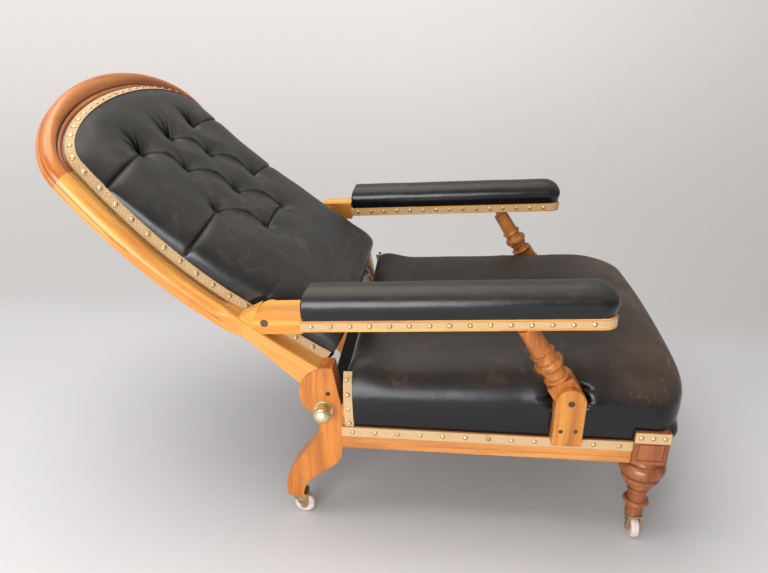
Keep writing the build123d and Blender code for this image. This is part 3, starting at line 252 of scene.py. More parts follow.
# Arm pads
pad_rear = 63
pad_front = 551.5
pad_middle = 304.7
pad_half = 33.4
pad_low = 6.5
pad_waist = 24
pad_top = 57.5
pad_bottom_half = 30
arm_fullness = 2.3
arm_front_radius = 29
arm_rear_radius = 3
nose_length = 38
nose_undercut = 7
nose_lap = 2.5
rear_slope = 0.5
rear_slope_most = 11
arm_corner_share = 0.86
arm_wall_rows = 14
arm_top_rows = 34
arm_ripple = 0.35
arm_ripple_upwards = (20, 30)

# Camera, fitted to the photo's parallel lines
camera_before_hinge = 182.06
camera_across = -1269.5
camera_height = 899.58
camera_yaw = 0.0879
camera_pitch = 0.4106
camera_lens = 31.62
sensor_width = 36
camera_far = 500

# Floor, backdrop and surround
floor_reach = 150.0
# Floor colour near the camera and towards the rear, where it is darker as painted shade
floor_front = (0.68, 0.655, 0.645)
floor_rear = (0.50, 0.480, 0.478)
floor_mottle = (0.46, 0.46, 0.49)
# Backdrop glow, a painted light: darker low down, brightest far off, and darker to the right as painted
# shade
backdrop_low = (0.50, 0.475, 0.47)
backdrop_middle = (0.63, 0.61, 0.60)
backdrop_high = (0.86, 0.81, 0.78)
backdrop_right = (0.44, 0.41, 0.38)
surround_colour = (0.72, 0.72, 0.74)
surround_strength = 0.66

# Lamps, the window behind the camera, as place, aim, size, power in watts and tint
lamps = {
    "overhead": ((-0.7, 0.2, 2.8), (0.0, 0.0, 0.2), (3.0, 2.4), 84, (1, 1, 1)),
    "window": ((-0.9, -3.4, 0.95), (0.0, 0.0, 0.35), (2.4, 1.6), 114, (0.97, 0.985, 1.0)),
    "left": ((-3.0, -0.6, 1.5), (0.0, 0.0, 0.35), (1.8, 1.8), 8, (1, 1, 1)),
}

# Wear on the hide and painted shade in its creases: their colours, and how the hairlines are turned and
# drawn out
hide_brown = (0.15, 0.088, 0.058)
hide_worn_through = (0.27, 0.165, 0.105)
hide_hairline = (0.32, 0.25, 0.20)
hide_crease_shade = (0.004, 0.004, 0.004)
hairline_turn = (0.2, 0.5, 0.9)
hairline_stretch = (520, 14, 14)

# How the braid's threads lean, and how the wood's figure and pores are drawn out
thread_lean = 0.72
figure_stretch = (3.2, 38, 38)
pore_stretch = (34, 620, 620)


def ease(share):
    """Smooth step: 3 t^2 - 2 t^3 of a share held between 0 and 1."""
    share = np.clip(share, 0, 1)
    return share * share * (3 - 2 * share)


def over_span(value, span):
    """Smooth step of a value over a span."""
    start, run = span
    return ease((value - start) / run)


def smooth_table(at, places, values):
    """Cubic through a table: each piece takes the slopes of central differences at its two ends."""
    places = np.asarray(places, float)
    values = np.asarray(values, float)
    slopes = np.gradient(values, places)
    i = np.clip(np.searchsorted(places, at) - 1, 0, len(places) - 2)
    step = places[i + 1] - places[i]
    t = np.clip((at - places[i]) / step, 0, 1)
    start = (1 + 2 * t) * (1 - t) ** 2 * values[i] + t * (1 - t) ** 2 * step * slopes[i]
    return start + t * t * (3 - 2 * t) * values[i + 1] + t * t * (t - 1) * step * slopes[i + 1]


def smooth_line(points, count):
    """Catmull-Rom line through points, sampled at even steps of its parameter."""
    points = np.asarray(points, float)
    last = len(points) - 1
    t = np.linspace(0, last, count)
    i = np.minimum(t.astype(int), last - 1)
    f = (t - i)[:, None]
    before = points[np.maximum(i - 1, 0)]
    after = points[np.minimum(i + 2, last)]
    a, b = points[i], points[i + 1]
    bend = 2 * a + (b - before) * f + (2 * before - 5 * a + 4 * b - after) * f**2
    return (bend + (3 * a - before - 3 * b + after) * f**3) / 2


def running(steps):
    """Sums of the steps so far, from 0."""
    return np.concatenate([[0], np.cumsum(steps)])


def front_of_frame(up):
    """Height of the bowed front face: a circle of the bow's radius, touching the bow's depth."""
    return bow_radius - bow_depth - np.sqrt(bow_radius**2 - (up - bow_middle) ** 2)


def on_back(up, across, out):
    """Point of the back in the frame: up its slope, across, and out from the hinge's line."""
    x = hinge_x - up * math.cos(back_slope) + out * math.sin(back_slope)
    z = hinge_z + up * math.sin(back_slope) + out * math.cos(back_slope)
    return np.stack(np.broadcast_arrays(x, across, z), axis=-1)


def on_arm(along, across, above):
    """Point of an arm in the frame: along the line through its two pivots, across, and above it."""
    x = arm_pivot_x + along * math.cos(arm_slope) - above * math.sin(arm_slope)
    z = arm_pivot_z + along * math.sin(arm_slope) + above * math.cos(arm_slope)
    return np.stack(np.broadcast_arrays(x, across, z), axis=-1)


def half_width(up):
    """Half width of the back's outer edge: straight at the foot, then a smooth swell."""
    return np.where(up < plain_end, plain_half, smooth_table(up, swell_places, swell_halves))


def crest_plan(turn, inset):
    """Crest outline moved in by an inset: superellipse of the crest's fullness, as up and across."""
    power = 2 / crest_fullness
    top = crest_top - stile_top - inset * crest_widening
    up = stile_top + top * np.abs(np.sin(turn)) ** power
    across = (swell_halves[-1] - inset) * np.sign(np.cos(turn)) * np.abs(np.cos(turn)) ** power
    return up, across


def even_turns(count):
    """Angles round the crest that are evenly spaced along its outer edge."""
    turn = np.linspace(0, math.pi, edge_steps)
    up, across = crest_plan(turn, 0)
    length = running(np.hypot(np.diff(up), np.diff(across)))
    return np.interp(np.linspace(0, length[-1], count), length, turn)


def mesh_piece(name, grid, capped=True, hollow=None, crisp=None):
    """Mesh over a grid of closed rings, with UV in metres; hollow is the painted shade that materials put
    on its points.
    """
    rows, columns = grid.shape[:2]
    points = grid.reshape(-1, 3) / metre
    index = np.arange(rows * columns).reshape(rows, columns)
    index = np.concatenate([index, index[:, :1]], axis=1)
    corners = np.stack([index[:-1, :-1], index[1:, :-1], index[1:, 1:], index[:-1, 1:]], axis=-1)
    faces = corners.reshape(-1, 4).tolist()
    if capped:
        faces += index[[0, -1], :columns].tolist()
    mesh = bpy.data.meshes.new(name)
    mesh.from_pydata(points.tolist(), [], faces)
    placed = points[index]
    along = np.linalg.norm(np.diff(placed, axis=0), axis=2).mean(axis=1)
    round_it = np.linalg.norm(np.diff(placed, axis=1), axis=2).mean(axis=0)
    sheet = np.stack(np.meshgrid(running(along), running(round_it), indexing="ij"), axis=-1)
    cells = np.stack([sheet[:-1, :-1], sheet[1:, :-1], sheet[1:, 1:], sheet[:-1, 1:]], axis=2)
    flat = np.zeros((len(mesh.loops), 2))
    flat[: cells.size // 2] = cells.reshape(-1, 2)
    if capped:
        ends = np.array([loop.vertex_index for loop in mesh.loops[cells.size // 2 :]])
        flat[cells.size // 2 :] = points[ends][:, 1:]
    layer = mesh.uv_layers.new(name="UVMap")
    layer.data.foreach_set("uv", flat.ravel())
    if hollow is not None:
        dark = mesh.attributes.new("hollow", "FLOAT", "POINT")
        dark.data.foreach_set("value", np.broadcast_to(hollow, (rows, columns)).ravel())
    finish_mesh(mesh, crisp)
    return new_object(name, mesh)


def finish_mesh(mesh, crisp=None):
    """Merge doubled points, turn faces outwards and shade them smooth, but crisp past an angle."""
    work = bmesh.new()
    work.from_mesh(mesh)
    bmesh.ops.remove_doubles(work, verts=work.verts, dist=1e-6)
    bmesh.ops.recalc_face_normals(work, faces=work.faces)
    work.to_mesh(mesh)
    work.free()
    mesh.polygons.foreach_set("use_smooth", [True] * len(mesh.polygons))
    if crisp:
        mesh.set_sharp_from_angle(angle=math.radians(crisp))


def new_object(name, mesh):
    piece = bpy.data.objects.new(name, mesh)
    bpy.context.scene.collection.objects.link(piece)
    return piece


def dress(piece, material, body, slot, *replaced):
    """Give a new piece its material and its body, and hide the nodes that it stands for; its slot is not
    used.
    """
    piece.data.materials.clear()
    piece.data.materials.append(material)
    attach(piece, body)
    if replaced:
        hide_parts(*replaced)


def domes(name, centres, normals, radius, height, rings=5, spokes=14):
    """Low round domes about each centre's own normal, with a narrower foot sunk below."""
    centres = np.asarray(centres, float)
    normals = np.asarray(normals, float)
    normals = normals / np.linalg.norm(normals, axis=1, keepdims=True)
    helper = np.where(np.abs(normals[:, 1:2]) < 0.9, [[0, 1, 0]], [[1, 0, 0]])
    first = np.cross(normals, helper)
    first /= np.linalg.norm(first, axis=1, keepdims=True)
    second = np.cross(normals, first)
    rise = np.linspace(math.pi / 2, 0, rings)
    reach = np.concatenate([radius * np.cos(rise), [radius * dome_foot_share, 0]])
    level = np.concatenate([height * np.sin(rise), [dome_foot, dome_foot]])
    turn = np.arange(spokes) * 2 * math.pi / spokes
    ring = first[:, None] * np.cos(turn)[None, :, None] + second[:, None] * np.sin(turn)[None, :, None]
    points = centres[:, None, None] + ring[:, None] * reach[None, :, None, None]
    points = points + normals[:, None, None] * level[None, :, None, None]
    count, levels = points.shape[:2]
    index = np.arange(count * levels * spokes).reshape(count, levels, spokes)
    index = np.concatenate([index, index[:, :, :1]], axis=2)
    corners = np.stack(
        [index[:, :-1, :-1], index[:, 1:, :-1], index[:, 1:, 1:], index[:, :-1, 1:]], axis=-1
    )
    mesh = bpy.data.meshes.new(name)
    mesh.from_pydata((points.reshape(-1, 3) / metre).tolist(), [], corners.reshape(-1, 4).tolist())
    finish_mesh(mesh)
    return new_object(name, mesh)


class Finish:
    """A material and short calls that add its nodes."""

    def __init__(self, name, roughness=0.5, **sockets):
        self.material = bpy.data.materials.new(name)
        self.material.use_nodes = True
        self.nodes = self.material.node_tree.nodes
        self.links = self.material.node_tree.links
        self.shader = self.nodes["Principled BSDF"]
        self.shader.inputs["Roughness"].default_value = roughness
        for socket, value in sockets.items():
            self.shader.inputs[socket.replace("_", " ")].default_value = value

    def add(self, kind, inputs=None, **settings):
        node = self.nodes.new(kind)
        for key, value in settings.items():
            setattr(node, key, value)
        for key, value in (inputs or {}).items():
            if isinstance(value, bpy.types.NodeSocket):
                self.links.new(value, node.inputs[key])
            else:
                node.inputs[key].default_value = value
        return node

    def place(self, turn=(0, 0, 0), own_map=False):
        source = self.add("ShaderNodeTexCoord").outputs["UV" if own_map else "Object"]
        return self.stretch(source, turn=turn)

    def stretch(self, vector, scale=(1, 1, 1), turn=(0, 0, 0)):
        inputs = {"Vector": vector, "Rotation": turn, "Scale": scale}
        return self.add("ShaderNodeMapping", inputs).outputs["Vector"]

    def noise(self, vector, scale, detail=3.0, roughness=0.55, distortion=0.0):
        inputs = {"Vector": vector, "Scale": scale, "Detail": detail, "Roughness": roughness}
        inputs["Distortion"] = distortion
        return self.add("ShaderNodeTexNoise", inputs).outputs["Fac"]

    def cells(self, vector, scale):
        inputs = {"Vector": vector, "Scale": scale}
        return self.add("ShaderNodeTexVoronoi", inputs, feature="DISTANCE_TO_EDGE").outputs["Distance"]

    def wave(self, vector, scale, distortion, detail, direction="X"):
        inputs = {"Vector": vector, "Scale": scale, "Distortion": distortion, "Detail": detail}
        return self.add("ShaderNodeTexWave", inputs, bands_direction=direction).outputs["Fac"]

    def span(self, value, low, high, start=0.0, end=1.0):
        inputs = {"Value": value, "From Min": low, "From Max": high, "To Min": start, "To Max": end}
        return self.add("ShaderNodeMapRange", inputs, interpolation_type="SMOOTHSTEP").outputs["Result"]

    def math(self, operation, first, second=0.0):
        return self.add("ShaderNodeMath", {0: first, 1: second}, operation=operation).outputs[0]

    def times(self, first, second):
        return self.math("MULTIPLY", first, second)

    def parts(self, vector):
        return self.add("ShaderNodeSeparateXYZ", {0: vector}).outputs

    def mix(self, share, first, second):
        first, second = ((*c, 1) if isinstance(c, tuple) else c for c in (first, second))
        return self.add("ShaderNodeMix", {0: share, 6: first, 7: second}, data_type="RGBA").outputs[2]

    def hollow(self):
        return self.add("ShaderNodeAttribute", attribute_name="hollow").outputs["Fac"]

    def bump(self, height, distance, strength=1.0, under=None):
        inputs = {"Height": height, "Distance": distance, "Strength": strength}
        if under is not None:
            inputs["Normal"] = under
        return self.add("ShaderNodeBump", inputs).outputs["Normal"]

    def soft_edges(self, radius):
        return self.add("ShaderNodeBevel", {"Radius": radius}, samples=6).outputs["Normal"]

    def end(self, colour=None, roughness=None, normal=None):
        for socket, value in (("Base Color", colour), ("Roughness", roughness), ("Normal", normal)):
            if value is not None:
                self.links.new(value, self.shader.inputs[socket])
        return self.material


# How the wood's figure is turned to lie along a direction
grain_turns = {"x": (0, 0, 0), "y": (0, 0, math.radians(90)), "z": (0, math.radians(90), 0)}
grain_turns["back"] = (0, -back_slope, 0)
grain_turns["arm"] = (0, arm_slope, 0)


def darker(colour, share):
    """A share of a colour's light."""
    return tuple(share * part for part in colour)


def polished_wood(name, light, deep, along, soft=0.0012, own_map=False):
    """French-polished mahogany: long figure and short dark pores drawn out along the grain."""
    wood = Finish(name, 0.33, Coat_Weight=0.22, Coat_Roughness=0.16, Specular_IOR_Level=0.38)
    turn = (0, 0, 0) if own_map else grain_turns[along]
    place = wood.place(turn, own_map)
    figure = wood.noise(wood.stretch(place, figure_stretch), 1.0, 4.0, 0.6, 0.9)
    pores = wood.noise(wood.stretch(place, pore_stretch), 1.0, 2.0, 0.5)
    patches = wood.noise(place, 9.0, 3.0, 0.6)
    colour = wood.mix(wood.span(figure, 0.32, 0.70), deep, light)
    colour = wood.mix(wood.span(patches, 0.55, 0.85, 0.0, 0.55), colour, darker(deep, 0.74))
    colour = wood.mix(wood.span(pores, 0.60, 0.74, 0.0, 0.5), colour, darker(deep, 0.45))
    # Painted shade: points that the hollow attribute marks, such as the moulding's grooves, go near black
    colour = wood.mix(wood.hollow(), colour, darker(deep, 0.16))
    roughness = wood.span(patches, 0.3, 0.8, 0.26, 0.46)
    relief = wood.bump(pores, 0.00012, 0.5, wood.soft_edges(soft))
    relief = wood.bump(patches, 0.0012, 0.25, relief)
    return wood.end(colour, roughness, relief)


def hide(name, dark, bloom_and_sheen, worn, gloss, matt, scuffs=False):
    """Old black hide: glossy where upright; where it faces up, brown-grey and matt, partly rubbed hide and
    partly a painted sheen.

    Fine cells and creases make its grain, and the creases of folds and the dents get black painted shade.
    Scuffs adds brown rubbing and pale hairlines at the front of the seat.
    """
    skin = Finish(name, gloss, Specular_IOR_Level=0.6)
    place = skin.place()
    facing = skin.parts(skin.add("ShaderNodeTexCoord").outputs["Normal"])
    broad = skin.noise(place, 6.0, 4.0, 0.6, 0.4)
    rub = skin.noise(place, 24.0, 5.0, 0.65, 1.2)
    level = skin.math("ADD", facing["Z"], skin.times(broad, 0.35))
    upward = skin.span(level, 0.45, 0.95)
    # Painted sheen: where the hide faces up it takes the lighter bloom colour, partly rubbed matt hide
    colour = skin.mix(upward, dark, bloom_and_sheen)
    wear = skin.times(skin.span(rub, 0.48, 0.72), skin.span(broad, 0.35, 0.65))
    colour = skin.mix(skin.times(wear, upward), colour, worn)
    if scuffs:
        spread = skin.parts(place)
        ahead = skin.span(spread["X"], 0.36, 0.52)
        high = skin.span(spread["Z"], 0.262, 0.300)
        corner = skin.times(ahead, high)
        brown = skin.times(corner, skin.span(broad, 0.25, 0.75, 0.15, 1.0))
        colour = skin.mix(skin.times(brown, 0.6), colour, hide_brown)
        worn_through = skin.span(skin.noise(place, 55.0, 6.0, 0.75, 2.0), 0.59, 0.72)
        colour = skin.mix(skin.times(corner, worn_through), colour, hide_worn_through)
        lines = skin.noise(skin.stretch(place, hairline_stretch, hairline_turn), 1.0, 2.0, 0.5, 0.6)
        furthest = skin.span(spread["X"], 0.46, 0.53)
        marks = skin.times(skin.span(lines, 0.66, 0.70), furthest)
        colour = skin.mix(skin.times(marks, 0.5), colour, hide_hairline)
    # Painted shade: creases and dents marked by the hollow attribute go near black
    colour = skin.mix(skin.times(skin.hollow(), 0.85), colour, hide_crease_shade)
    cells = skin.cells(place, 620.0)
    creases = skin.noise(place, 130.0, 5.0, 0.7, 1.6)
    smooth = skin.times(skin.math("SUBTRACT", rub, 0.5), 0.25)
    rough = skin.math("ADD", skin.span(level, 0.25, 1.0, gloss, matt), smooth)
    outside_shade = skin.math("SUBTRACT", 1.0, skin.hollow())
    shine = skin.span(level, 0.25, 1.0, 0.46, 0.24)
    skin.links.new(skin.times(shine, outside_shade), skin.shader.inputs["Specular IOR Level"])
    relief = skin.bump(cells, 0.00018, 0.3)
    relief = skin.bump(outside_shade, 0.004, 0.7, relief)
    relief = skin.bump(creases, 0.0006, 0.28, relief)
    relief = skin.bump(broad, 0.006, 0.25, relief)
    return skin.end(colour, rough, relief)


def braid(name, light, deep, own_map=False):
    """Woven braid: two slanting sets of threads that cross, soiled in patches."""
    cloth = Finish(name, 0.85, Specular_IOR_Level=0.15, Sheen_Weight=0.25, Sheen_Roughness=0.5)
    if own_map:
        place = cloth.place(own_map=True)
    else:
        spread = cloth.parts(cloth.place())
        along = cloth.math("ADD", spread["X"], spread["Y"])
        place = cloth.add("ShaderNodeCombineXYZ", {"X": along, "Y": spread["Z"]}).outputs[0]
    leans = (cloth.stretch(place, turn=(0, 0, lean)) for lean in (thread_lean, -thread_lean))
    weave = cloth.math("MAXIMUM", *(cloth.wave(leaning, 105.0, 0.6, 1.0) for leaning in leans))
    soil = cloth.noise(cloth.place(), 30.0, 4.0, 0.6)
    colour = cloth.mix(cloth.span(weave, 0.35, 0.9), deep, light)
    colour = cloth.mix(cloth.span(soil, 0.5, 0.8, 0.0, 0.6), colour, deep)
    # Painted shade where the hollow attribute marks it, such as the back braid's edges
    colour = cloth.mix(cloth.times(cloth.hollow(), 0.7), colour, darker(deep, 0.4))
    return cloth.end(colour, None, cloth.bump(weave, 0.0006, 0.8))


def old_metal(name, bright, dull, roughness, spots, level=(0.45, 0.72)):
    """Handled metal: bright where rubbed, browned in patches, with fine scuffs."""
    metal = Finish(name, roughness, Metallic=1.0)
    place = metal.place()
    stain = metal.noise(place, spots, 5.0, 0.65, 0.5)
    share = metal.span(stain, *level)
    colour = metal.mix(share, bright, dull)
    rough = metal.span(stain, 0.3, 0.75, roughness, roughness + 0.25)
    fine = metal.noise(place, 900.0, 2.0)
    return metal.end(colour, rough, metal.bump(fine, 0.00005, 0.4, metal.soft_edges(0.0004)))


def glazed_clay(name):
    """Glazed pale pink clay with grime in blotches and a crackle."""
    clay = Finish(name, 0.25, Coat_Weight=0.4, Coat_Roughness=0.1)
    place = clay.place()
    grime = clay.noise(place, 90.0, 4.0, 0.6)
    crackle = clay.cells(place, 260.0)
    colour = clay.mix(clay.span(grime, 0.45, 0.75), (0.70, 0.56, 0.52), (0.42, 0.30, 0.25))
    colour = clay.mix(clay.span(crackle, 0.0, 0.05, 0.5, 0.0), colour, (0.25, 0.17, 0.13))
    return clay.end(colour, clay.span(grime, 0.4, 0.8, 0.2, 0.5), clay.bump(grime, 0.0002, 0.3))


def coarse_cloth(name, light, deep):
    """Hessian: plain weave of thick and thin threads along and across."""
    cloth = Finish(name, 0.92, Specular_IOR_Level=0.1)
    place = cloth.place()
    weave = cloth.times(*(cloth.wave(place, 130.0, 1.2, 2.0, direction) for direction in "XY"))
    soil = cloth.noise(place, 12.0, 4.0, 0.6)
    colour = cloth.mix(cloth.span(weave, 0.05, 0.6), deep, light)
    colour = cloth.mix(cloth.span(soil, 0.45, 0.75, 0.0, 0.5), colour, deep)
    return cloth.end(colour, None, cloth.bump(weave, 0.0005, 0.7))


# Woods, as light and deep colour, direction of the grain, worn radius of edges, and own map or not
golden, golden_deep = (0.84, 0.41, 0.085), (0.54, 0.200, 0.034)
woods = {
    "stile": (golden, golden_deep, "x", 0.0006, True),
    "crest": ((0.62, 0.215, 0.036), (0.37, 0.096, 0.015), "x", 0.0006, True),
    "level": ((0.66, 0.28, 0.070), (0.44, 0.150, 0.030), "x"),
    "across": (golden, golden_deep, "y"),
    "arm": ((0.82, 0.40, 0.060), (0.58, 0.215, 0.028), "arm"),
    "upright": ((0.62, 0.215, 0.034), (0.38, 0.105, 0.016), "z"),
    "bracket": ((0.62, 0.25, 0.040), (0.40, 0.130, 0.020), "z"),
    "turned": ((0.56, 0.195, 0.034), (0.30, 0.082, 0.014), "z", 0.0008),
    "front_leg": ((0.36, 0.110, 0.034), (0.18, 0.048, 0.015), "z", 0.0008),
    "ear": ((0.80, 0.38, 0.060), (0.55, 0.200, 0.028), "back"),
}
woods = {name: polished_wood("mahogany_" + name, *values) for name, values in woods.items()}

# Hides, as dark colour, bloom colour with painted sheen where it faces up, worn colour, roughness where
# glossy and where matt, and scuffed or not
hides = {
    "back": ((0.010, 0.010, 0.010), (0.034, 0.031, 0.026), (0.072, 0.056, 0.041), 0.24, 0.40),
    "seat": ((0.003, 0.003, 0.004), (0.020, 0.015, 0.011), (0.060, 0.034, 0.023), 0.15, 0.48, True),
    "arm": ((0.005, 0.005, 0.006), (0.036, 0.031, 0.025), (0.064, 0.050, 0.038), 0.17, 0.40),
    "plain": ((0.020, 0.019, 0.019), (0.030, 0.027, 0.025), (0.06, 0.05, 0.042), 0.45, 0.5),
}
hides = {name: hide("hide_" + name, *values) for name, values in hides.items()}

# Braids, metals and the rest
braid_path = braid("braid_back", (0.70, 0.48, 0.25), (0.40, 0.25, 0.11), own_map=True)
braid_band = braid("braid_band", (0.66, 0.45, 0.24), (0.42, 0.26, 0.12))
brass_nail = old_metal("brass_nail", (0.66, 0.50, 0.29), (0.34, 0.23, 0.12), 0.40, 120.0)
brass_knob = old_metal("brass_knob", (0.74, 0.64, 0.38), (0.42, 0.31, 0.15), 0.27, 35.0, (0.50, 0.85))
brass_castor = old_metal("brass_castor", (0.52, 0.38, 0.19), (0.15, 0.10, 0.06), 0.34, 70.0)
dark_pin = old_metal("dark_pin", (0.15, 0.085, 0.055), (0.06, 0.035, 0.025), 0.48, 80.0)
iron = old_metal("oiled_iron", (0.30, 0.27, 0.25), (0.10, 0.07, 0.055), 0.42, 80.0)
clay_wheel = glazed_clay("glazed_wheel")
hessian = coarse_cloth("hessian", (0.42, 0.33, 0.21), (0.22, 0.16, 0.09))

# Finish of each node, also of those that a new piece stands for; a star stands for both sides
finishes = (
    (woods["across"], "front_rail back_bottom_rail"),
    (woods["level"], "side_rail_*"),
    (woods["front_leg"], "front_leg_*"),
    (woods["upright"], "rear_leg_*"),
    (woods["bracket"], "support_bracket_*"),
    (woods["turned"], "arm_support_*"),
    (woods["arm"], "arm_rail_*"),
    (woods["ear"], "arm_ears"),
    (woods["stile"], "back_stile_*"),
    (woods["crest"], "crest_rail"),
    (hides["plain"], "rear_rail back_cover"),
    (hides["back"], "back_cushion back_buttons"),
    (hides["seat"], "seat_cushion"),
    (hides["arm"], "arm_pad_*"),
    (braid_band, "seat_gimp back_gimp arm_gimp_*"),
    (brass_nail, "seat_nails back_nails arm_nails_*"),
    (brass_knob, "knob_roses knob_*"),
    (brass_castor, "castor_sockets castor_fork_front_* castor_fork_rear_*"),
    (clay_wheel, "castor_wheel_front_* castor_wheel_rear_*"),
    (dark_pin, "bracket_screws support_pins hinge_pins arm_rear_pins"),
    (iron, "hinge_plates hinge_plate_screws seat_springs arm_front_pin_* bolt_spring_*"),
    (hessian, "seat_webbing bottom_cloth"),
)


def moulding_shade():
    """Painted shade along the moulding: full in the middle of each hollow and half beside it."""
    shade = np.zeros(len(moulded))
    for first, last, darkness in moulding_hollows:
        shade[first : last + 1] = darkness * 0.5
        shade[(first + last) // 2] = darkness
    return shade


def stile(side):
    """Upright of the back: the moulding carried up the swell, faded to a plain, thinner foot."""
    way = sides[side]
    rows = np.linspace(0, 1, stile_rows)[:, None]
    shape = np.array(moulded)
    bar = np.array(plain)
    up = disc_clear_radius + (stile_top - scarf_gap - disc_clear_radius) * rows
    fade = over_span(up, moulding_fade)
    inward = bar[:, 0] + (shape[:, 0] - bar[:, 0]) * fade
    raised = bar[:, 1] + (shape[:, 1] - bar[:, 1]) * fade
    out = front_of_frame(up) + raised
    rear = np.arange(len(shape)) < heel_points
    heel = heel_out + (raised - bar[0, 1])
    share = ease((up - plain_end + heel_blend / 2) / heel_blend)
    out = np.where(rear, heel + (out - heel) * share, np.maximum(out, heel_out + heel_step * (1 - share)))
    end = np.sqrt(np.maximum(disc_clear_radius**2 - out**2, 0))
    up = end + (stile_top - scarf_gap - end) * rows
    grid = on_back(up, way * (half_width(up) - inward), out)
    piece = mesh_piece("stile_" + side, grid, hollow=moulding_shade() * fade, crisp=frame_crisp)
    dress(piece, woods["stile"], "back", "mahogany", "back_stile_" + side)


def crest():
    """Bowed top rail: the same moulding carried round a superellipse."""
    turn = even_turns(crest_rows)[:, None]
    shape = np.array(moulded)
    up, across = crest_plan(turn, shape[:, 0])
    grid = on_back(up, across, front_of_frame(up) + shape[:, 1])
    piece = mesh_piece("crest", grid, hollow=moulding_shade(), crisp=frame_crisp)
    dress(piece, woods["crest"], "back", "mahogany", "crest_rail")


def path_round_back(step):
    """Stations from one stile's foot over the crest to the other's, evenly spaced along the edge."""
    climb = np.linspace(braid_start, stile_top, climb_steps)
    turns = np.linspace(0, math.pi, turn_steps)[1:-1]
    up = np.concatenate([climb, crest_plan(turns, 0)[0], climb[::-1]])
    across = np.concatenate([half_width(climb), crest_plan(turns, 0)[1], -half_width(climb[::-1])])
    kind = np.concatenate([climb - stile_top, turns, (stile_top - climb)[::-1] + math.pi])
    length = running(np.hypot(np.diff(up), np.diff(across)))
    return np.interp(np.arange(0, length[-1], step), length, kind)


def round_back(station, inset):
    """Up and across at a station: on a stile below 0 and past pi, and on the crest between them."""
    low = station < 0
    high = station > math.pi
    climb = np.where(low, stile_top + station, stile_top - (station - math.pi))
    crest_up, crest_across = crest_plan(np.clip(station, 0, math.pi), inset)
    stile_across = np.where(low, 1, -1) * (half_width(climb) - inset)
    straight = low | high
    return np.where(straight, climb, crest_up), np.where(straight, stile_across, crest_across)


def back_braid():
    """Braid round the back: a thin slanting band with a scalloped inner edge and ribbed face.

    Loop is the share of its width, out along the face and back along the underside.
    """
    station = path_round_back(braid_step)[:, None]
    width = np.linspace(0, 1, braid_columns)
    loop = np.concatenate([width, width[::-1]])[None]
    under = np.concatenate([np.zeros(braid_columns), np.ones(braid_columns)])[None]
    wave = np.arange(len(station))[:, None] * braid_step * math.pi / braid_scallop_pitch
    scallop = braid_scallop * np.abs(np.sin(wave)) * loop**3
    inward = braid_outer[0] + (braid_inner[0] - braid_outer[0]) * loop + scallop
    rise = braid_outer[1] + (braid_inner[1] - braid_outer[1]) * loop
    rib = braid_rib * np.sin(2 * wave + braid_rib_slant * loop) * np.sin(loop * math.pi) * (1 - under)
    face = np.sin(np.clip(loop, braid_lip, 1 - braid_lip) * math.pi) ** braid_roundness
    rise = rise + (1 - under) * (braid_thickness * face + rib)
    up, across = round_back(station, inward)
    grid = on_back(up, across, front_of_frame(up) + rise)
    # Painted shade along the braid's two edges, where it meets the frame and the pad
    edge = np.abs(loop - 0.5) * 2
    hollow = np.clip((edge - braid_dark_from) * 3, 0, 1) * braid_darkness + np.zeros_like(inward)
    piece = mesh_piece("back_braid", grid, hollow=hollow, crisp=braid_crisp)
    dress(piece, braid_path, "back", "gimp", "back_gimp")


def back_nail_heads():
    """Nails at even steps along the middle of the braid, each square to its slant."""
    station = path_round_back(nail_pitch / 2)[1::2]
    inward = (braid_outer[0] + braid_inner[0]) / 2
    up, across = round_back(station, inward)
    edge_up, edge_across = round_back(station, inward - small_step)
    rise = (braid_outer[1] + braid_inner[1]) / 2 + braid_thickness
    centres = on_back(up, across, front_of_frame(up) + rise)
    outward = on_back(edge_up, edge_across, front_of_frame(up) + rise) - centres
    front = on_back(up, across, front_of_frame(up) + rise + small_step) - centres
    piece = domes("back_nail_heads", centres, outward + front, nail_radius, nail_height)
    dress(piece, brass_nail, "back", "brass", "back_nails")


def back_folds():
    """Folds between diagonal neighbours, pleats to the sides, and short tucks round the buttons."""
    folds = []
    for (up_a, row_a, _), (up_b, row_b, _) in zip(button_rows, button_rows[1:]):
        for a in row_a:
            near = [b for b in row_b if abs(a - b) < neighbour_reach]
            folds += [((up_a, a), (up_b, b), diamond_fold) for b in near]
    for number, fall in side_pleats:
        up, row, _ = button_rows[number]
        side = float(half_width(np.array(up + fall))) - pad_inset
        folds.append(((up, row[0]), (up + fall, -side), side_pleat))
        folds.append(((up, row[-1]), (up + fall, side), side_pleat))
    up, row, _ = button_rows[-1]
    folds.append(((up, row[0]), (up, row[-1]), lower_fold))
    for number, way, spokes, kind in tuck_fans:
        up, row, _ = button_rows[number]
        for place, across in enumerate(row):
            for lean, reach in spokes:
                turn = math.radians(lean + lean_wander * math.sin(2.3 * place + lean))
                tip = (up + way * reach * math.cos(turn), across + reach * math.sin(turn))
                folds.append(((up, across), tip, kind))
    return folds


def sunk_at(up, across):
    """How far the folds draw the hide in, and how much painted shade darkens their creases.

    Away from a fold's bowed line the depth falls by an exponential, quickly on the crest's side,
    where the hide laps over, and slowly below.
    """
    sunk = np.zeros_like(up)
    hollow = np.zeros_like(up)
    for start, end, (depth, above, below, bow, fades) in back_folds():
        run = np.array(end) - np.array(start)
        share = np.clip(((up - start[0]) * run[0] + (across - start[1]) * run[1]) / (run @ run), 0, 1)
        bent = bow * np.sin(math.pi * share)
        away_up = up - start[0] - share * run[0] - bent
        away_across = across - start[1] - share * run[1]
        away = np.hypot(away_up, away_across)
        width = np.where(away_up > 0, above, below)
        sag = 1 - fold_sag * np.sin(math.pi * share) * (1 - fades)
        strength = depth * (1 - fades * ease(share)) * sag
        sunk = np.maximum(sunk, strength * np.exp(-((away / width) ** fold_sharpness)))
        # Painted shade along the fold's line, stronger for deeper folds
        hollow = np.maximum(hollow, strength / crease_full_depth * np.exp(-((away / crease_width) ** 2)))
    return sunk, np.clip(hollow, 0, 1)


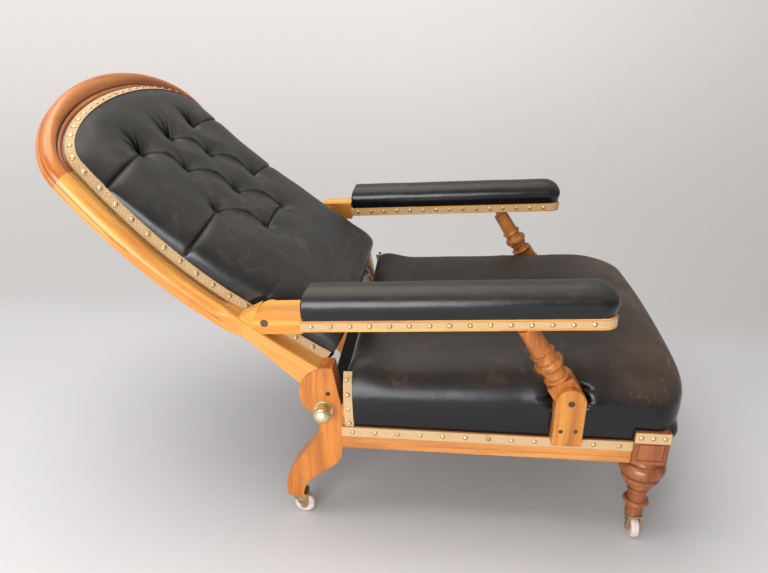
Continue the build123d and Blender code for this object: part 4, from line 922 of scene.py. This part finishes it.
def back_pad():
    """Stuffed back: rows up the pad, each arched from side to side, sunk at buttons and folds.

    The middle line is a rolled foot and then a crown read from a table. Each point goes from the
    pad's edge to that line by a superellipse of its distance from the side, and the tufting is
    taken off at the end. A second, flat sheet closes it behind.
    """
    foot = smooth_line(pad_foot, pad_foot_rows)
    climb = np.linspace(foot[-1, 0] + pad_row_step, crown_places[-1], pad_rows)
    middle_up = np.concatenate([foot[:, 0], climb])[:, None]
    rise = smooth_table(climb, crown_places, crown_rises)
    middle_out = np.concatenate([foot[:, 1], rise])[:, None]
    spread = np.linspace(-1, 1, pad_columns)
    share = np.sin(spread * math.pi / 2)[None] * pad_crowding + spread[None] * (1 - pad_crowding)
    inner_top = crest_top - stile_top - pad_inset * crest_widening
    top = stile_top + inner_top * (1 - np.abs(share) ** crest_fullness) ** (1 / crest_fullness)
    low = foot[-1, 0]
    lift = np.clip((middle_up - low) / (crown_places[-1] - low), 0, 1)
    up = np.where(middle_up > low, low + (top - low) * lift, middle_up)
    half = half_width(np.minimum(up, stile_top)) - pad_inset
    across = share * half
    near = np.clip((half - np.abs(across)) / pad_shoulder, 0, 1)
    arch = (1 - (1 - near) ** pad_fullness) ** (1 / pad_fullness)
    out = pad_edge_out + (middle_out - pad_edge_out) * arch
    rolled = ease((low - middle_up) / pad_roll_length)
    edge_up = np.maximum(up, pad_edge_low + pad_edge_climb * (up - pad_edge_from))
    drop = pad_corner_drop * (1 - arch) * np.exp(-(((up - pad_corner_up) / pad_corner_reach) ** 2))
    up = up + (edge_up - up) * (1 - arch) * rolled - drop
    pit = np.zeros_like(up)
    for row_up, row, sunk_out in button_rows:
        level = smooth_table(np.array(row_up), crown_places, crown_rises)
        for place in row:
            away = np.hypot(up - row_up, across - place)
            narrow = np.exp(-((away / pit_radius) ** fold_sharpness))
            broad = np.exp(-((away / pit_spread) ** 2))
            pit = np.maximum(pit, (level - sunk_out) * (pit_share * broad + (1 - pit_share) * narrow))
    sunk, hollow = sunk_at(up, across)
    guard = ease((out - pad_edge_out) / pad_guard)
    take = (sunk**3 + pit**3) ** (1 / 3) * guard
    ripple = 0.5 * np.sin(up / 19.0 + across / 31.0) + 0.4 * np.sin(across / 17.0 - up / 43.0)
    out = out - take + ripple * guard
    base = front_of_frame(up)
    face = on_back(up, across, base + out)
    behind_share = np.linspace(1, -1, pad_behind_columns)[None]
    behind = on_back(up[:, :1] + 0 * behind_share, behind_share * half[:, :1], base[:, :1] - pad_behind)
    # Painted shade in the creases on the face, none on the sheet behind
    dark = np.concatenate([hollow * guard, np.zeros((len(up), pad_behind_columns))], axis=1)
    piece = mesh_piece("back_pad", np.concatenate([face, behind], axis=1), hollow=dark)
    dress(piece, hides["back"], "back", "leather", "back_cushion")


def tuft_buttons():
    """Covered buttons at the bottom of the tufts, square to the back."""
    centres = []
    for up, row, out in button_rows:
        level = front_of_frame(up) + out + button_lift
        centres += [on_back(up, across, level) for across in row]
    front = on_back(0.0, 0.0, small_step) - on_back(0.0, 0.0, 0.0)
    normals = [front] * len(centres)
    piece = domes("tuft_buttons", centres, normals, button_radius, button_height, rings=7, spokes=20)
    dress(piece, hides["back"], "back", "leather", "back_buttons")


def rounded_plan(rear, front, half, rear_corner, front_corner, straight=40, arc=14, ends=36):
    """Rounded rectangles, one per level, all divided alike: straights and quarter circles in turn."""
    measures = (rear, front, half, rear_corner, front_corner)
    rear, front, half, rear_corner, front_corner = (np.asarray(m, float)[:, None] for m in measures)
    along = np.linspace(0, 1, straight)[None]
    end = np.linspace(0, 1, ends)[None]
    turn = (np.linspace(0, 1, arc + 2)[1:-1] * math.pi / 2)[None]
    x_side = rear + rear_corner + (front - rear - rear_corner - front_corner) * along
    x_front = front - front_corner + front_corner * np.sin(turn)
    y_front = -half + front_corner - front_corner * np.cos(turn)
    x_rear = rear + rear_corner - rear_corner * np.sin(turn)
    y_rear = half - rear_corner + rear_corner * np.cos(turn)
    y_end = (-half + front_corner) + 2 * (half - front_corner) * end
    y_back = (half - rear_corner) - 2 * (half - rear_corner) * end
    parts = (
        (x_side, -half + 0 * along),
        (x_front, y_front),
        (front + 0 * end, y_end),
        (x_front[:, ::-1], -y_front[:, ::-1]),
        (x_side[:, ::-1], half + 0 * along),
        (x_rear, y_rear),
        (rear + 0 * end, y_back),
        (x_rear[:, ::-1], -y_rear[:, ::-1]),
    )
    return tuple(np.concatenate(line, axis=1) for line in zip(*parts))


def seat_pad():
    """Stuffed seat: rounded plans lofted by smooth tables, tilted and bowed in front.

    Its top shrinks to a low crown. Beside the arm supports it is pressed in to a limit, with a low
    swell round the dent, and its rear corners are lifted.
    """
    steps = np.arange(len(seat_levels))
    at = np.linspace(0, steps[-1], seat_rows)
    tables = (seat_levels, seat_rears, seat_fronts, seat_halves, seat_front_corners, seat_rear_corners,
              seat_tilts)
    level, rear, front, half, front_corner, rear_corner, tilt = (
        smooth_table(at, steps, values) for values in tables
    )
    x, y = rounded_plan(rear, front, half, rear_corner, front_corner)
    middle = ((rear + front) / 2)[:, None]
    z = level[:, None] + seat_tilt * tilt[:, None] * (x - middle)
    shrink = (1 - np.linspace(0, 1, seat_crown_rows)[1:])[:, None]
    centre = middle[-1]
    x = np.concatenate([x, centre + (x[-1:] - centre) * shrink])
    y = np.concatenate([y, y[-1:] * shrink])
    z_top = level[-1] + seat_tilt * (x[len(at) :] - centre) + seat_crown * (1 - shrink**2)
    z = np.concatenate([z, z_top])
    sideways = (np.abs(y) / seat_breadth) ** bow_power
    x = x - seat_bow * sideways * over_span(x, bow_along) * over_span(z, bow_upwards)
    from_bracket = bracket_x - hinge_x
    below = np.clip(bracket_z - z, 0, dent_foot_depth) / dent_foot_radius
    round_foot = np.sqrt(np.maximum(1 - below**2, 0))
    rear_end = from_bracket - dent_rear_half * round_foot - support_lean * np.maximum(z - bracket_z, 0)
    front_end = from_bracket + dent_front_half * round_foot
    past = np.maximum(np.maximum(rear_end - x, x - front_end), 0)
    dent = ease(1 - past / dent_blend) * ease((z - dent_low) / dent_rise)
    limit = dent_face + (1 - dent) * dent_outside
    lip = np.exp(-(((past - dent_blend - dent_swell_past) / dent_swell_reach * 2) ** 2))
    lip = lip * over_span(past, dent_swell_along)
    swelling = dent_swell / seat_breadth * lip * over_span(z, dent_swell_upwards)
    y = y * (1 + swelling * (np.abs(y) > dent_swell_beyond))
    over = np.abs(y) - limit
    eased = np.abs(y) - np.maximum(over + dent_softness, 0) ** 2 / (4 * dent_softness)
    held = np.where(over > dent_softness, limit, eased)
    pressed = np.where(over > -dent_softness, held, np.abs(y))
    # Painted shade in the dent, darker the further the hide is pressed in
    dark = np.clip((np.abs(y) - pressed - dent_shade[0]) / dent_shade[1], 0, 1) * dent
    y = np.sign(y) * pressed
    swell = 1.0 * np.sin(x / 37.0) * np.sin(z / 17.0 + x / 90.0) + 0.6 * np.sin(x / 23.0 + y / 41.0)
    z = z + swell * over_span(z, ripple_upwards)
    lift = rear_corner_lift * over_span(np.abs(y), lift_across) * over_span(-x, lift_backwards)
    z = z + lift * over_span(z, lift_upwards)
    grid = np.stack([x + hinge_x, y, z], axis=-1)
    base = grid[:1].copy()
    base[..., :2] = (1 - base_inset) * base[..., :2] + [base_inset * (hinge_x + seat_middle), 0]
    grid = np.concatenate([base, grid])
    dark = np.concatenate([0 * dark[:1], dark])
    piece = mesh_piece("seat_pad", grid, capped=False, hollow=dark)
    dress(piece, hides["seat"], "seat_frame", "leather", "seat_cushion")


def strip_nails():
    """Nails up the braid at the rear end of the seat's sides."""
    centres = []
    normals = []
    for way in sides.values():
        for height in strip_nail_heights:
            lean = (height - strip_low) / (strip_high - strip_low)
            centres.append((hinge_x + strip_middle - strip_lean * lean, way * strip_face, height))
            normals.append((0, way, 0))
    piece = domes("strip_nails", centres, normals, nail_radius * strip_nail_share, nail_height)
    dress(piece, brass_nail, "seat_frame", "brass")


def arm_pad(side):
    """Arm pad: a full superellipse section over upright sides, round at the nose and flat behind."""
    way = sides[side]
    walls = np.linspace(0, 1, arm_wall_rows)[:-1]
    turn = np.linspace(0, math.pi / 2, arm_top_rows)
    power = 2 / arm_fullness
    low_half = pad_bottom_half + (pad_half - pad_bottom_half) * np.sin(walls * math.pi / 2)
    half = np.concatenate([low_half, pad_half * np.cos(turn) ** power])
    level = np.concatenate(
        [pad_low + (pad_waist - pad_low) * walls, pad_waist + (pad_top - pad_waist) * np.sin(turn) ** power]
    )
    inset = pad_half - half
    climb = np.clip((level - pad_waist) / (pad_top - pad_waist), 0, 1)
    nose = nose_length * (1 - np.sqrt(1 - climb**2)) + nose_undercut * np.clip(1 - level / pad_waist, 0, 1)
    front = pad_front + nose_lap - nose
    rear = pad_rear + np.minimum(inset * rear_slope, rear_slope_most)
    corner = np.minimum(arm_front_radius, np.maximum(half * arm_corner_share, 0.01))
    rear_corner = np.minimum(arm_rear_radius, half * 0.5)
    x, y = rounded_plan(rear, front, half, rear_corner, corner, straight=70, arc=12, ends=24)
    ripple = arm_ripple * np.sin(x / 27.0) * np.sin(x / 61.0 + 1.0)
    above = level[:, None] + ripple * over_span(level[:, None], arm_ripple_upwards)
    grid = on_arm(x, way * pad_middle + y, above)
    piece = mesh_piece("arm_pad_hide_" + side, grid)
    dress(piece, hides["arm"], "arm_" + side, "leather", "arm_pad_" + side)


def finish_cad():
    """Give every node its finish, on both sides where its name has a star."""
    for material, names in finishes:
        for name in names.split():
            for node in dict.fromkeys(name.replace("*", side) for side in sides):
                slots = frame["nodes"][node].data.materials
                slots.clear()
                slots.append(material)


def floor():
    """Pale floor, far wider than the view; past a soft line the camera sees it as a glowing backdrop."""
    mesh = bpy.data.meshes.new("floor")
    ways = ((-1, -1), (1, -1), (1, 1), (-1, 1))
    mesh.from_pydata([(x * floor_reach, y * floor_reach, 0) for x, y in ways], [], [(0, 1, 2, 3)])
    ground = new_object("floor", mesh)
    paint = Finish("studio_floor", 0.75, Specular_IOR_Level=0.2)
    place = paint.place()
    spread = paint.parts(place)
    # Painted shade: the floor darkens from near the camera towards the rear
    near = paint.span(spread["Y"], -0.9, 0.35)
    colour = paint.mix(near, floor_front, floor_rear)
    mottle = paint.noise(place, 3.0, 2.0)
    colour = paint.mix(paint.span(mottle, 0.3, 0.7, 0.0, 0.10), colour, floor_mottle)
    paint.end(colour)
    away = paint.add("ShaderNodeVectorMath", {0: place}, operation="LENGTH").outputs["Value"]
    distance = paint.math("DIVIDE", away, paint.math("ADD", away, 2.0))
    # Backdrop glow for camera rays, a painted light: it climbs from the low to the high colour far off,
    # with painted shade to the right
    climb = paint.mix(paint.span(distance, 0.17, 0.26), backdrop_low, backdrop_middle)
    climb = paint.mix(paint.span(distance, 0.42, 1.0), climb, backdrop_high)
    beside = paint.math("DIVIDE", spread["X"], paint.math("ADD", paint.math("ABSOLUTE", spread["Y"]), 1.27))
    climb = paint.mix(paint.span(beside, -0.1, 0.75, 0.0, 0.75), climb, backdrop_right)
    glow = paint.add("ShaderNodeEmission", {"Color": climb}).outputs[0]
    seen = paint.add("ShaderNodeLightPath").outputs["Is Camera Ray"]
    beyond = paint.math("MAXIMUM", paint.span(spread["Y"], 0.40, 0.72), paint.span(away, 2.0, 4.5))
    share = paint.times(seen, beyond)
    blend = paint.add("ShaderNodeMixShader", {0: share, 1: paint.shader.outputs[0], 2: glow})
    paint.links.new(blend.outputs[0], paint.nodes["Material Output"].inputs["Surface"])
    mesh.materials.append(paint.material)


def soft_lamp(name, place, aim, size, power, tint):
    lamp = bpy.data.lights.new(name, "AREA")
    lamp.shape = "RECTANGLE"
    lamp.size, lamp.size_y = size
    lamp.energy = power
    lamp.color = tint
    holder = bpy.data.objects.new(name, lamp)
    holder.location = place
    look = np.array(aim, float) - np.array(place, float)
    down = look / np.linalg.norm(look)
    holder.rotation_mode = "QUATERNION"
    holder.rotation_quaternion = Vector(down).to_track_quat("-Z", "Y")
    bpy.context.scene.collection.objects.link(holder)


def studio():
    """The lamps, and a pale surround that the camera sees in the colour of the far floor."""
    for name, settings in lamps.items():
        soft_lamp(name, *settings)
    surround = bpy.data.worlds.new("surround")
    surround.use_nodes = True
    nodes = surround.node_tree.nodes
    links = surround.node_tree.links
    light = nodes["Background"]
    light.inputs["Color"].default_value = (*surround_colour, 1)
    light.inputs["Strength"].default_value = surround_strength
    seen = nodes.new("ShaderNodeBackground")
    seen.inputs["Color"].default_value = (*backdrop_high, 1)
    blend = nodes.new("ShaderNodeMixShader")
    links.new(nodes.new("ShaderNodeLightPath").outputs["Is Camera Ray"], blend.inputs[0])
    links.new(light.outputs[0], blend.inputs[1])
    links.new(seen.outputs[0], blend.inputs[2])
    links.new(blend.outputs[0], nodes["World Output"].inputs["Surface"])
    bpy.context.scene.world = surround
    bpy.context.scene.view_settings.view_transform = "Standard"


def camera():
    """Camera at the photo's place: looking forward, turned by the yaw and tipped by the pitch."""
    eye = bpy.data.cameras.new("camera")
    eye.lens = camera_lens
    eye.sensor_width = sensor_width
    eye.clip_end = camera_far
    holder = bpy.data.objects.new("camera", eye)
    place = (hinge_x + camera_before_hinge, camera_across, camera_height)
    holder.location = [value / metre for value in place]
    holder.rotation_euler = (math.pi / 2 - camera_pitch, 0, camera_yaw)
    bpy.context.scene.collection.objects.link(holder)
    bpy.context.scene.camera = holder


camera()
studio()
floor()
finish_cad()
for side in sides:
    stile(side)
    arm_pad(side)
crest()
back_braid()
back_nail_heads()
back_pad()
tuft_buttons()
seat_pad()
strip_nails()
